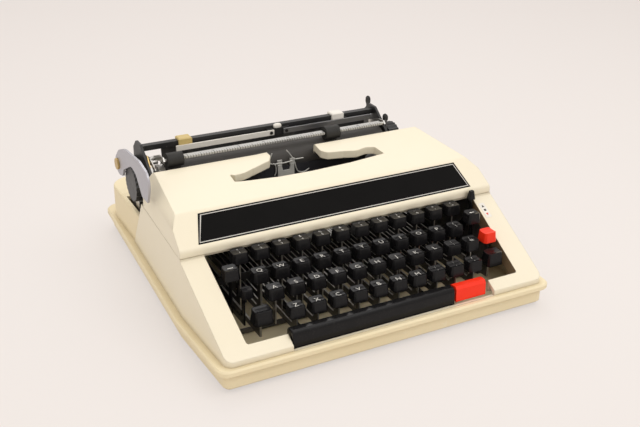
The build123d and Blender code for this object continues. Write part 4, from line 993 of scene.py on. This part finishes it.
def onDeck(flat, low, high):
    # outline across and up the slope, laid on the deck's plane and given thickness along its normal
    lean = math.radians(label["slope"])
    front, rise = label["deckFront"]
    y0, z0 = placed(label["depth"], rise + (label["depth"] - front) * math.tan(lean))
    points, faces = plate(np.asarray(flat) * mm, low * mm, high * mm, axis=2)
    x = label["x"] * mm + points[:, 0]
    y = y0 + points[:, 1] * math.cos(lean) - points[:, 2] * math.sin(lean)
    z = z0 + points[:, 1] * math.sin(lean) + points[:, 2] * math.cos(lean)
    return np.stack([x, y, z], -1), faces


halfWide, halfLong = label["half"]
corners = [(-halfWide, -halfLong), (halfWide, -halfLong), (halfWide, halfLong), (-halfWide, halfLong)]
labelShape = onDeck(rounded(corners, label["corner"]), -label["sunk"], label["thick"])
makePiece("selectorLabel", *labelShape, offWhitePlastic, "frame", "white_plastic")
markLow, markHigh = label["thick"] - label["markSunk"], label["thick"] + label["markProud"]
for name, spec in labelMarks.items():
    shape = onDeck(rounded(spec["outline"], label["markCorner"]), markLow, markHigh)
    makePiece(name, *shape, spec["finish"], "frame", spec["slot"])
print("space bar, scales, wires, plates, tips and label made")

# floor: pale; camera and glossy rays mostly see it glow as a soft gradient, painted light that is brighter near
# the middle, which begins at the start and is complete after the width; the rest is the lit floor, so that part
# of the shadow stays
floorLook = {
    "half": 9.0, "near": (0.91, 0.86, 0.83), "far": (0.66, 0.61, 0.59), "body": (0.74, 0.69, 0.65),
    "start": 0.3, "width": 1.8, "gradient": 0.62,
}


def makeFloor(look):
    # flat square of four cells at the height 0
    side = np.linspace(-look["half"], look["half"], 3)
    x, y = np.meshgrid(side, side)
    points = np.stack([x, y, np.zeros_like(x)], -1).reshape(-1, 3)
    cell = np.arange(2)[:, None] * 3 + np.arange(2)
    cell = cell.ravel()
    faces = np.stack([cell, cell + 1, cell + 4, cell + 3], -1)
    mesh = bpy.data.meshes.new("floor")
    mesh.from_pydata(points.tolist(), [], faces.tolist())
    floor = bpy.data.objects.new("floor", mesh)
    bpy.context.scene.collection.objects.link(floor)
    mesh.materials.append(floorFinish(look))


def floorFinish(look):
    f = Finish("floor")
    away = f.node("ShaderNodeVectorMath", {"operation": "LENGTH"}, {0: f.place}).outputs["Value"]
    share = ((f.value(away) - look["start"]) / look["width"]).clamped()
    shown = f.mix(share, look["near"], look["far"])
    rays = f.node("ShaderNodeLightPath")
    seen = (f.value(rays.outputs["Is Camera Ray"]) + f.value(rays.outputs["Is Glossy Ray"])).clamped()
    f.set(colour=look["body"], rough=0.7, specular=0.1)
    # painted light: the floor glows for camera and glossy rays, brighter near the middle and dimmer further off
    glow = f.node("ShaderNodeEmission", {}, {"Color": shown, "Strength": 1.0})
    part = seen * look["gradient"]
    blend = f.node("ShaderNodeMixShader", {}, {0: part, 1: f.shader.outputs[0], 2: glow.outputs[0]})
    output = next(n for n in f.tree.nodes if n.type == "OUTPUT_MATERIAL")
    f.tree.links.new(blend.outputs[0], output.inputs[0])
    return f.material


def makeWorld(look):
    # sky light mixed by height between its low and its high strength, and one flat colour for the camera
    world = bpy.data.worlds.new("studio")
    bpy.context.scene.world = world
    world.use_nodes = True
    tree = world.node_tree
    tree.nodes.clear()
    rays = tree.nodes.new("ShaderNodeLightPath")
    sky = tree.nodes.new("ShaderNodeMixShader")
    height = tree.nodes.new("ShaderNodeSeparateXYZ")
    tree.links.new(tree.nodes.new("ShaderNodeTexCoord").outputs["Generated"], height.inputs[0])
    tree.links.new(height.outputs[2], sky.inputs[0])
    for slot, level in ((1, "low"), (2, "high")):
        part = tree.nodes.new("ShaderNodeBackground")
        part.inputs[0].default_value = (*look["colour"], 1)
        part.inputs[1].default_value = look[level]
        tree.links.new(part.outputs[0], sky.inputs[slot])
    shown = tree.nodes.new("ShaderNodeBackground")
    shown.inputs[0].default_value = (*look["shown"], 1)
    blend = tree.nodes.new("ShaderNodeMixShader")
    output = tree.nodes.new("ShaderNodeOutputWorld")
    tree.links.new(rays.outputs["Is Camera Ray"], blend.inputs[0])
    tree.links.new(sky.outputs[0], blend.inputs[1])
    tree.links.new(shown.outputs[0], blend.inputs[2])
    tree.links.new(blend.outputs[0], output.inputs[0])


makeFloor(floorLook)
makeWorld(ambient)
print("floor and world made")
